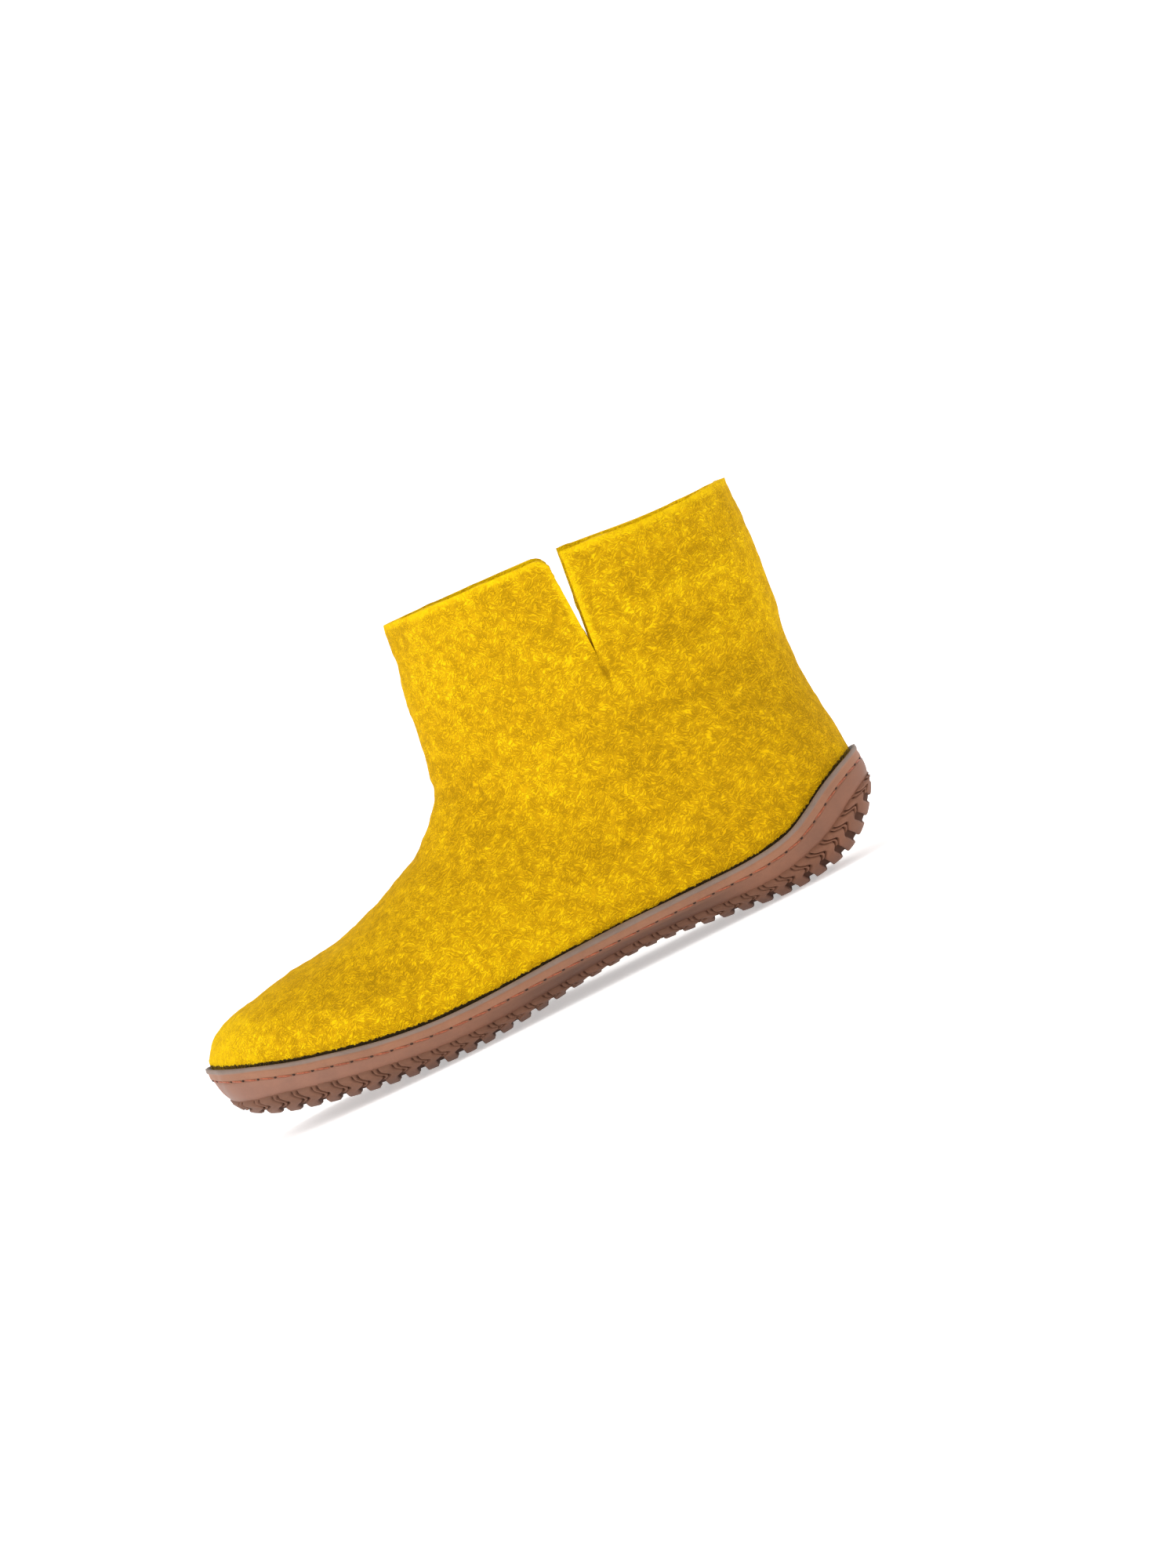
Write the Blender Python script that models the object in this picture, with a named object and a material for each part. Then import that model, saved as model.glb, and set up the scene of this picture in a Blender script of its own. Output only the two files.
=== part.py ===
"""Felt ankle boot: a boot felted whole from wool, on a moulded rubber cup sole, with a loose felt insole.

The frame is +X toward the toe, +Y toward the left, +Z up, in metres. The floor is z = 0, and the origin is the
middle of the boot's footprint. It is a left boot, so its outer side faces +Y.

Everything follows one surface, the felt's outer skin. Its sections start upright across the toe, fan round the
bend of the instep, and end level at the collar. Walls, cup, tread and insole are offsets of that skin.
"""

import math
from bisect import bisect_right
from collections import namedtuple
from functools import lru_cache

import bmesh
import bpy
from mathutils import Vector

# Sizes of the boot.
LENGTH = 0.280
BALL_WIDTH = 0.096
HEEL_WIDTH = 0.072
SHAFT_WIDTH = 0.084
INSTEP_HEIGHT = 0.093
SHAFT_RISE = 0.067

# Thicknesses and clearances.
FELT_WALL = 0.0045
INSOLE_THICKNESS = 0.003
SIDE_RUBBER = 0.003
UNDER_RUBBER = 0.008
FIT = 0.0003

# The cup's side: a lip along the rim, and the groove that the stitches lie in.
LIP_ROUNDING = 0.0009
STITCH_GROOVE = 0.0006

# The tread: lugs with a bent groove between each two, which wrap up onto the cup's side.
TREAD_SHARE = 0.28
TREAD_PROUD = 0.0013
LUG_PITCH = 0.0079
LUG_TOP_SHARE = 0.66
SIDE_GROOVE = 0.0009
GROOVE_SHARE = 0.75
CHEVRON_DROP = 0.0026
SIDE_OF_TREAD = 0.0062
TREAD_START = 0.002
TREAD_LEAST_TURN = math.radians(9)

# The cup's base behind the heel is at least this share of its side, and the lugs root this deep in the cup.
LEAST_BASE = 0.8
TREAD_ROOT = 0.36

# The slit down each side of the shaft.
SLIT_PLACE = 0.7395
SLIT_WIDTH = 0.0070
SLIT_FOOT_WIDTH = 0.0004
SLIT_DEPTH = 0.055
PAST_COLLAR = 0.002

FELT_RINGS = 31
FELT_COLUMNS = 36
CUP_ROWS = 30
INSOLE_TOE, INSOLE_HEEL, INSOLE_COLUMNS = 3, 19, 5

# Each row is one section of the boot, from the tip of the toe to the collar. low is the outline of the sole's
# underside and of the boot's back, top the outline of the toe, vamp and shaft's front. Their x is in hundredths
# of LENGTH from the toe. Their z is in hundredths of INSTEP_HEIGHT up to the bend of the instep, and past 100 in
# hundredths of SHAFT_RISE above it. ball, heel and shaft are shares of those widths. shift is in hundredths of
# BALL_WIDTH toward the outer side. widest is the share of the way up where the section is widest. under is the
# rubber below or behind the felt, as a share of UNDER_RUBBER.
COLUMNS = "low_x low_z top_x top_z ball heel shaft shift widest low_power top_power under"
Section = namedtuple("Section", COLUMNS)
SECTIONS = [
    Section(0.3, 33.1, 0.9, 42.5, 0.115, 0, 0, -8.5, 0.50, 2.0, 2.0, 0.29),
    Section(0.7, 26.0, 1.6, 45.5, 0.255, 0, 0, -8.0, 0.45, 2.3, 2.0, 0.40),
    Section(1.5, 20.4, 3.0, 49.9, 0.415, 0, 0, -7.5, 0.40, 2.6, 2.1, 0.56),
    Section(3.4, 14.9, 5.4, 53.5, 0.57, 0, 0, -6.5, 0.36, 3.0, 2.2, 0.73),
    Section(7.9, 9.6, 9.3, 56.5, 0.75, 0, 0, -5.0, 0.33, 3.5, 2.3, 0.88),
    Section(15.7, 4.8, 15.7, 60.2, 0.91, 0, 0, -3.0, 0.32, 4.0, 2.3, 0.97),
    Section(24.3, 1.3, 23.2, 62.8, 0.99, 0, 0, -1.2, 0.32, 4.3, 2.2, 1),
    Section(34.3, -0.4, 30.4, 69.1, 1, 0, 0, 0, 0.30, 4.5, 2.1, 1),
    Section(43.2, 1.5, 35.4, 75.9, 0.80, 0.20, 0, 1.0, 0.28, 4.5, 2.0, 1),
    Section(51.8, 4.5, 39.1, 82.3, 0.50, 0.50, 0, 2.0, 0.27, 4.5, 1.9, 1),
    Section(60.4, 6.0, 41.8, 88.7, 0.22, 0.78, 0, 2.5, 0.28, 4.5, 1.85, 1),
    Section(68.2, 4.6, 43.5, 94.1, 0.08, 0.92, 0, 2.0, 0.30, 4.5, 1.85, 1),
    Section(75.4, 1.7, 44.5, 98.4, 0, 1, 0, 1.0, 0.33, 4.3, 1.85, 1),
    Section(82.9, -0.4, 45.1, 104.2, 0, 1, 0, 0, 0.36, 4.0, 1.85, 1),
    Section(88.9, 0.9, 45.5, 111.2, 0, 0.98, 0.02, 0, 0.39, 3.5, 1.85, 0.97),
    Section(93.6, 4.9, 45.9, 117.9, 0, 0.96, 0.04, 0, 0.42, 3.0, 1.85, 0.88),
    Section(97.0, 12.9, 46.3, 124.6, 0, 0.92, 0.08, 0, 0.44, 2.7, 1.85, 0.69),
    Section(99.3, 23.1, 46.5, 131.3, 0, 0.84, 0.16, 0, 0.46, 2.45, 1.85, 0.49),
    Section(100, 32.3, 46.7, 138.1, 0, 0.75, 0.25, 0, 0.47, 2.3, 1.87, 0.36),
    Section(99.8, 41.4, 46.9, 144.8, 0, 0.67, 0.33, 0, 0.48, 2.25, 1.87, 0.28),
    Section(98.7, 55.9, 47.1, 154.5, 0, 0.54, 0.46, 0, 0.49, 2.2, 1.88, 0),
    Section(97.8, 77.4, 47.5, 164.2, 0, 0.42, 0.58, 0, 0.50, 2.15, 1.88, 0),
    Section(98.2, 98.9, 48.0, 172.4, 0, 0.30, 0.70, 0, 0.50, 2.1, 1.89, 0),
    Section(99.3, 129.9, 48.3, 180.6, 0, 0.17, 0.83, 0, 0.50, 2.05, 1.9, 0),
    Section(99.9, 162.7, 48.6, 190.3, 0, 0.05, 0.95, 0, 0.50, 2.0, 1.9, 0),
    Section(100, 191.3, 48.9, 200.3, 0, 0, 1, 0, 0.50, 1.95, 1.9, 0),
]

# Heights along the sole's side, in the same hundredths of LENGTH and INSTEP_HEIGHT.
Height = namedtuple("Height", "x z")
RIM_LINE = [
    Height(0, 39.4), Height(6.7, 33.9), Height(11.4, 29.6), Height(16.2, 26.5), Height(21.0, 23.5),
    Height(25.8, 21.0), Height(31.9, 19.2), Height(38.7, 18.8), Height(52.3, 19.9), Height(65.9, 20.1),
    Height(79.6, 20.1), Height(85.0, 21.9), Height(88.4, 25.6), Height(91.8, 32.2), Height(94.5, 36.3),
    Height(97.3, 39.8), Height(100, 42.2),
]
TREAD_LINE = [
    Height(0, 24.0), Height(2.6, 21.0), Height(7.8, 19.4), Height(14.3, 15.5), Height(22.0, 11.4),
    Height(30.7, 7.6), Height(42.3, 6.8), Height(53.3, 8.5), Height(62.1, 9.6), Height(73.8, 8.1),
    Height(80.0, 7.7), Height(84.1, 8.8), Height(88.2, 12.5), Height(91.4, 15.0), Height(94.6, 21.5),
    Height(96.9, 25.3), Height(100, 28.8),
]

# Where the lines along the cup's side lie, from the rim (0) to the tread (1), and how far each stands in.
SideLine = namedtuple("SideLine", "place inset")
CUP_SIDE = [
    SideLine(0, LIP_ROUNDING),
    SideLine(0.10, 0),
    SideLine(0.36, 0),
    SideLine(0.42, STITCH_GROOVE),
    SideLine(0.48, 0),
    SideLine(0.75, 0),
    SideLine(1, 0),
]
# Lines of the cup under the tread, as shares of the turn from the lowest point to the tread's edge.
CUP_UNDERSIDE = [0.85, 0.60, 0.30, 0]
RIM_END = 0.05
MOST_TREAD_TURN = 0.98

# How far a groove of the tread runs toward the heel at each line across it, from its upper edge on the side to
# the middle of the underside, in pitches.
ZIGZAG = [0, 0.36, -0.06, 0.30, -0.06, 0.30, -0.06]
UNDERSIDE_STEPS = 4

# Places along the table of sections, and angles round a section.
TOE, COLLAR = 0.0, float(len(SECTIONS) - 1)
HEEL_START, HEEL_END = 13.0, 20.0
BOTTOM = -math.pi / 2
LARGEST_TURN = math.radians(120)
PLACE_STEP = 0.02
ANGLE_STEP = 0.01
HALVINGS = 24
OUTLINE_STEPS = 400
SECTION_STEPS = 25
MERGE = 1e-5

# The rubber thickens from its side to its underside between these two cosines of the skin's direction.
SIDE_FACING, UNDER_FACING = 0.25, 0.85


def rise(hundredths):
    """A height in metres, from hundredths of the instep's height and, past 100, of the shaft's rise."""
    return (min(hundredths, 100) * INSTEP_HEIGHT + max(hundredths - 100, 0) * SHAFT_RISE) / 100


@lru_cache(maxsize=None)
def section_at(place):
    """The section at a place between two rows of SECTIONS, on a smooth curve through the rows."""
    first = min(max(int(place), 0), len(SECTIONS) - 2)
    share = place - first
    rows = [SECTIONS[min(max(first + step, 0), len(SECTIONS) - 1)] for step in (-1, 0, 1, 2)]
    values = []
    for before, start, end, after in zip(*rows):
        bend = 2 * before - 5 * start + 4 * end - after
        twist = 3 * start - before - 3 * end + after
        values.append(start + 0.5 * share * (end - before + share * (bend + share * twist)))
    return Section(*values)


def low_point(place):
    """The outline of the underside and back, as seen from the side: distance from the toe, and height."""
    section = section_at(place)
    return Vector((section.low_x / 100 * LENGTH, rise(section.low_z)))


@lru_cache(maxsize=None)
def felt_low(place):
    """The felt's own outline above or before the rubber."""
    run = (low_point(min(place + PLACE_STEP, COLLAR)) - low_point(max(place - PLACE_STEP, TOE))).normalized()
    return low_point(place) + Vector((-run.y, run.x)) * section_at(place).under * UNDER_RUBBER


def skin(place, angle):
    """A point of the felt's outer skin. The angle runs round the section: 0 outer side, 90 degrees on top."""
    section = section_at(place)
    low = felt_low(place)
    axis = Vector((section.top_x / 100 * LENGTH, rise(section.top_z))) - low
    half = (section.ball * BALL_WIDTH + section.heel * HEEL_WIDTH + section.shaft * SHAFT_WIDTH) / 2
    across, up = math.cos(angle), math.sin(angle)
    power = section.top_power if up > 0 else section.low_power
    reach = (abs(across) ** power + abs(up) ** power) ** (-1 / power)
    height = section.widest + reach * up * (1 - section.widest if up > 0 else section.widest)
    side = low + axis * height
    return Vector((LENGTH / 2 - side.x, section.shift / 100 * BALL_WIDTH + half * reach * across, side.y))


def outward(place, angle):
    """The skin's direction outward there."""
    along = skin(min(place + PLACE_STEP, COLLAR), angle) - skin(max(place - PLACE_STEP, TOE), angle)
    around = skin(place, angle + ANGLE_STEP) - skin(place, angle - ANGLE_STEP)
    return along.cross(around).normalized()


def offset(place, angle, distance):
    return skin(place, angle) + outward(place, angle) * distance


@lru_cache(maxsize=None)
def downward(place):
    """The skin's direction outward at the section's lowest point: down, and back round the heel."""
    return outward(place, BOTTOM)


def facing_down(place, angle):
    """1 where the skin faces as its lowest point does, 0 on the boot's sides, and a smooth step between."""
    share = (outward(place, angle).dot(downward(place)) - SIDE_FACING) / (UNDER_FACING - SIDE_FACING)
    share = min(max(share, 0), 1)
    return share * share * (3 - 2 * share)


def cup_depth(place, angle):
    """How far the cup's outside lies from the felt's skin."""
    below = section_at(place).under * UNDER_RUBBER * (1 - TREAD_SHARE)
    side = FIT + SIDE_RUBBER
    return side + facing_down(place, angle) * (max(below, side * LEAST_BASE) - side)


def tread_depth(place, angle):
    """How far the lugs stand out from the cup."""
    below = max(section_at(place).under * UNDER_RUBBER * TREAD_SHARE, TREAD_PROUD)
    return TREAD_PROUD + facing_down(place, angle) * (below - TREAD_PROUD)


def line_height(line, point):
    """The height of a line along the sole's side, at a point's distance from the toe."""
    hundredths = (LENGTH / 2 - point.x) / LENGTH * 100
    after = min(max(bisect_right([mark.x for mark in line], hundredths), 1), len(line) - 1)
    start, end = line[after - 1], line[after]
    return rise(start.z + (end.z - start.z) * (hundredths - start.x) / (end.x - start.x))


def lug_depth(place, angle):
    return cup_depth(place, angle) + tread_depth(place, angle)


def turn_to(line, place, outer, depth):
    """How far a section turns from its lowest point until its cup or lugs meet the line, on either side."""
    low, high = 0.0, LARGEST_TURN
    for _ in range(HALVINGS):
        middle = (low + high) / 2
        angle = BOTTOM + middle if outer else BOTTOM - middle
        point = offset(place, angle, depth(place, angle))
        if point.z < line_height(line, point):
            low = middle
        else:
            high = middle
    return low


def mesh_object(name, build, material, collection):
    """A named object with the closed mesh that build makes."""
    mesh = bpy.data.meshes.new(name)
    shape = bmesh.new()
    build(shape)
    bmesh.ops.remove_doubles(shape, verts=shape.verts, dist=MERGE)
    bmesh.ops.triangulate(shape, faces=shape.faces, quad_method="FIXED")
    bmesh.ops.recalc_face_normals(shape, faces=shape.faces)
    shape.to_mesh(mesh)
    shape.free()
    mesh.shade_smooth()
    mesh.set_sharp_from_angle(angle=math.radians(35))
    made = bpy.data.objects.new(name, mesh)
    collection.objects.link(made)
    mesh.materials.append(material)
    return made


def bridge(shape, rows, closed=False):
    """Faces between rows of vertices."""
    for first, second in zip(rows, rows[1:]):
        count = len(first)
        for here in range(count if closed else count - 1):
            there = (here + 1) % count
            shape.faces.new((first[here], first[there], second[there], second[here]))


def spread(start, end, count):
    return [start + (end - start) * step / (count - 1) for step in range(count)]


def felt_rings(shape, distance, first=0, last=FELT_RINGS, columns=range(FELT_COLUMNS)):
    """Rings of vertices at a distance from the felt's skin, with a column on each side of the middle line."""
    places = spread(TOE, COLLAR, FELT_RINGS)[first:last]
    angles = [BOTTOM + 2 * math.pi * (column + 0.5) / FELT_COLUMNS for column in columns]
    return [[shape.verts.new(offset(place, angle, distance)) for angle in angles] for place in places]


def felt_boot(shape):
    """The boot felted in one piece: two skins that meet at the collar's edge."""
    outside, inside = felt_rings(shape, 0), felt_rings(shape, -FELT_WALL)
    for rings in (outside, inside):
        bridge(shape, rings, closed=True)
        shape.faces.new(rings[0])
    bridge(shape, [outside[-1], inside[-1]], closed=True)


def felt_form(shape):
    """The room that the felt boot takes up in the cup."""
    rings = felt_rings(shape, FIT)
    bridge(shape, rings, closed=True)
    shape.faces.new(rings[0])
    shape.faces.new(rings[-1])


def footbed(shape):
    """The loose insole: a plate that lies on the felt inside the boot."""
    columns = range(-INSOLE_COLUMNS, INSOLE_COLUMNS)
    layers = []
    for distance in (FELT_WALL + FIT, FELT_WALL + FIT + INSOLE_THICKNESS):
        rows = felt_rings(shape, -distance, INSOLE_TOE, INSOLE_HEEL, columns)
        bridge(shape, rows)
        layers.append(rows)
    lower, upper = layers
    for edge in (0, -1):
        bridge(shape, [[row[edge] for row in lower], [row[edge] for row in upper]])
        bridge(shape, [lower[edge], upper[edge]])


def last_place(line):
    """Where a line along the side meets the middle of the heel's back."""
    low, high = HEEL_START, HEEL_END
    for _ in range(HALVINGS):
        middle = (low + high) / 2
        point = offset(middle, BOTTOM, cup_depth(middle, BOTTOM))
        if point.z < line_height(line, point):
            low = middle
        else:
            high = middle
    return low


def cup_form(shape):
    """The cup before the boot's room is cut from it, each row from one rim, under the foot, to the other."""
    rows = []
    for place in spread(TOE, last_place(RIM_LINE) - RIM_END, CUP_ROWS):
        row = []
        for outer in (True, False):
            sign = 1 if outer else -1
            rim = turn_to(RIM_LINE, place, outer, cup_depth)
            tread = min(turn_to(TREAD_LINE, place, outer, lug_depth), MOST_TREAD_TURN * rim)
            turns = [(rim + (tread - rim) * line.place, line.inset) for line in CUP_SIDE]
            turns += [(tread * share, 0) for share in CUP_UNDERSIDE]
            points = []
            for turn, inset in turns:
                angle = BOTTOM + sign * turn
                points.append(offset(place, angle, cup_depth(place, angle) - inset * min(place, 1)))
            row += points if outer else points[-2::-1]
        rows.append([shape.verts.new(point) for point in row])
    bridge(shape, rows, closed=True)
    shape.faces.new(rows[0])
    shape.faces.new(rows[-1])


def places_along_sole(end):
    """Places between the toe and end, with the length of the sole's outline up to each."""
    places = spread(TOE, end, OUTLINE_STEPS)
    lengths = [0.0]
    for before, here in zip(places, places[1:]):
        lengths.append(lengths[-1] + (low_point(here) - low_point(before)).length)
    return places, lengths


def place_after(length, places, lengths):
    after = min(max(bisect_right(lengths, length), 1), len(lengths) - 1)
    span = lengths[after] - lengths[after - 1]
    return places[after - 1] + (places[after] - places[after - 1]) * (length - lengths[after - 1]) / span


def tread_angles(place, outer):
    """The angles of the tread's lines in one section, from its upper edge to the middle of the underside."""
    sign = 1 if outer else -1
    top = max(turn_to(TREAD_LINE, place, outer, lug_depth), TREAD_LEAST_TURN)
    turns = spread(top, 0, SECTION_STEPS)
    points = [offset(place, BOTTOM + sign * turn, UNDER_RUBBER) for turn in turns]
    lengths = [0.0]
    for before, here in zip(points, points[1:]):
        lengths.append(lengths[-1] + (here - before).length)
    edge = min(SIDE_OF_TREAD, lengths[-1] / 2)
    wanted = [0, edge * CHEVRON_DROP / SIDE_OF_TREAD, edge]
    wanted += [edge + (lengths[-1] - edge) * step / UNDERSIDE_STEPS for step in range(1, UNDERSIDE_STEPS + 1)]
    return [BOTTOM + sign * place_after(length, turns, lengths) for length in wanted]


def tread(shape):
    """The lugs: a layer over the cup's underside and the foot of its side, with a groove after each lug."""
    end = last_place(TREAD_LINE)
    places, lengths = places_along_sole(end)
    lugs = int((lengths[-1] - TREAD_START) / LUG_PITCH)
    pitch = (lengths[-1] - TREAD_START) / lugs
    marks = [(TREAD_START, 0)]
    for lug in range(lugs):
        start = TREAD_START + lug * pitch
        marks.append((start + pitch * (1 - LUG_TOP_SHARE) / 2, 0))
        marks.append((start + pitch * (1 + LUG_TOP_SHARE) / 2, 0))
        if lug < lugs - 1:
            marks.append((start + pitch, 1))
    marks.append((lengths[-1], 0))
    outsides, insides = [], []
    for length, groove in marks:
        outside, inside = [], []
        for outer in (True, False):
            outer_points, inner_points = [], []
            for column in range(len(ZIGZAG)):
                middle_share = min(length - TREAD_START, lengths[-1] - length, pitch) / pitch
                moved = length + ZIGZAG[column] * pitch * middle_share
                place = place_after(min(moved, lengths[-1]), places, lengths)
                angle = tread_angles(place, outer)[column]
                facing = facing_down(place, angle)
                depth = tread_depth(place, angle)
                cut = groove * (SIDE_GROOVE + facing * (depth * GROOVE_SHARE - SIDE_GROOVE))
                base = cup_depth(place, angle)
                point = offset(place, angle, base + depth - cut)
                point.z = max(point.z, 0)
                outer_points.append(point)
                inner_points.append(offset(place, angle, base * TREAD_ROOT))
            outside.append(outer_points)
            inside.append(inner_points)
        outsides.append([shape.verts.new(p) for p in outside[0] + outside[1][-2::-1]])
        insides.append([shape.verts.new(p) for p in inside[0] + inside[1][-2::-1]])
    bridge(shape, outsides)
    bridge(shape, insides)
    for edge in (0, -1):
        bridge(shape, [[row[edge] for row in outsides], [row[edge] for row in insides]])
    for row in (0, -1):
        bridge(shape, [outsides[row], insides[row]])


def finish(name, colour, roughness):
    material = bpy.data.materials.new(name)
    material.use_nodes = True
    shader = material.node_tree.nodes["Principled BSDF"]
    shader.inputs["Base Color"].default_value = (*colour, 1)
    shader.inputs["Roughness"].default_value = roughness
    shader.inputs["Metallic"].default_value = 0
    return material


def boolean(target, other, operation):
    """Joins or cuts target by other, and keeps other only as a hidden wire."""
    modifier = target.modifiers.new(operation.title(), "BOOLEAN")
    modifier.operation = operation
    modifier.object = other
    modifier.solver = "EXACT"
    other.hide_render = True
    other.display_type = "WIRE"


def slit_cutter(collection):
    """A wedge through both sides of the shaft, wide at the collar and thin at its foot."""
    top = rise(SECTIONS[-1].top_z) + PAST_COLLAR
    bpy.ops.mesh.primitive_cube_add(size=1)
    wedge = bpy.context.object
    wedge.name = "slit_wedge"
    for vertex in wedge.data.vertices:
        upper = vertex.co.z > 0
        vertex.co.x *= SLIT_WIDTH if upper else SLIT_FOOT_WIDTH
        vertex.co.y *= 2 * SHAFT_WIDTH
        vertex.co.z = top if upper else top - PAST_COLLAR - SLIT_DEPTH
    wedge.location.x = LENGTH / 2 - SLIT_PLACE * LENGTH
    bpy.context.collection.objects.unlink(wedge)
    collection.objects.link(wedge)
    return wedge


def centre(collections):
    """Moves everything so that the origin is the middle of the boot's length and width."""
    graph = bpy.context.evaluated_depsgraph_get()
    solids = [part.evaluated_get(graph) for part in collections[0].objects]
    corners = [Vector(corner) for solid in solids for corner in solid.bound_box]
    for axis in (0, 1):
        middle = (min(corner[axis] for corner in corners) + max(corner[axis] for corner in corners)) / 2
        for collection in collections:
            for part in collection.objects:
                part.location[axis] -= middle


def new_collection(name):
    made = bpy.data.collections.new(name)
    bpy.context.scene.collection.children.link(made)
    return made


def main():
    for old in list(bpy.data.objects):
        bpy.data.objects.remove(old)
    parts = new_collection("felt_boot")
    cutters = new_collection("cutters")
    felt = finish("yellow_felt", (0.78, 0.42, 0.006), 0.95)
    liner = finish("grey_felt", (0.30, 0.28, 0.25), 0.95)
    rubber = finish("brown_rubber", (0.30, 0.13, 0.08), 0.6)

    upper = mesh_object("felt_upper", felt_boot, felt, parts)
    boolean(upper, slit_cutter(cutters), "DIFFERENCE")
    mesh_object("insole", footbed, liner, parts)
    sole = mesh_object("rubber_sole", cup_form, rubber, parts)
    boolean(sole, mesh_object("felt_room", felt_form, rubber, cutters), "DIFFERENCE")
    boolean(sole, mesh_object("tread_lugs", tread, rubber, cutters), "UNION")
    centre([parts, cutters])


main()
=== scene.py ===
# %% [markdown]
# # A felt boot on a rubber cup sole
# This lesson dresses a boot that was felted whole from wool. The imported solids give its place, its size and
# what it stands on. Here each of them is replaced by a fine mesh of the same form, and gets a finish: tangled
# wool, moulded rubber with a wrapped tread, waxed thread. We load the solids first and note their box.

# %% Load the frame
import math

import bmesh
import bpy
import numpy as np
from mathutils import Matrix, Vector, kdtree, noise


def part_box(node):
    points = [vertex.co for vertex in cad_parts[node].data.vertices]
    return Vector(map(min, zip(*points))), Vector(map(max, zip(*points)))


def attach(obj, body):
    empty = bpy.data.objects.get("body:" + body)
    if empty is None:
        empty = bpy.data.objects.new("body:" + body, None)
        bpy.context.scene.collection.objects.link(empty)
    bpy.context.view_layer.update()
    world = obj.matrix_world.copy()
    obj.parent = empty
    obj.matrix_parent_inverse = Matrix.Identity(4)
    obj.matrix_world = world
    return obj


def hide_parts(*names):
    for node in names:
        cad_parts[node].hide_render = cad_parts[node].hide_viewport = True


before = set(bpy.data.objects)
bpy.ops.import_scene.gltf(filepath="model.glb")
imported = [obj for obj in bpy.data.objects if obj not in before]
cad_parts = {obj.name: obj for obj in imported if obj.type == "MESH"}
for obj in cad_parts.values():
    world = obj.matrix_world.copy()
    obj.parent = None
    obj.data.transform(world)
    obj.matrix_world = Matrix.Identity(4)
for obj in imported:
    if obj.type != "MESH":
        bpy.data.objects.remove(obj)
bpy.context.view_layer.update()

print("nodes:", sorted(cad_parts))

# %% [markdown]
# ## The last
# A boot is shaped over a last, a wooden foot. The last is given here by sections from the tip of the toe to
# the collar: upright across the toe, fanned round the bend of the instep, level at the collar. A smooth curve
# runs through the rows of the table. Felt, cup, lugs and insole are all offsets of the surface that the
# sections make, so they can't come apart. The sizes are those of the solids, in metres.

# %% Sizes of the boot
MM = 0.001
LENGTH = 280 * MM
BALL_WIDTH = 96 * MM
HEEL_WIDTH = 72 * MM
SHAFT_WIDTH = 84 * MM
INSTEP_HEIGHT = 93 * MM
SHAFT_RISE = 67 * MM
FELT_WALL = 4.5 * MM
INSOLE_THICKNESS = 3 * MM
SIDE_RUBBER = 3 * MM
UNDER_RUBBER = 8 * MM
FIT = 0.3 * MM

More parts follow.
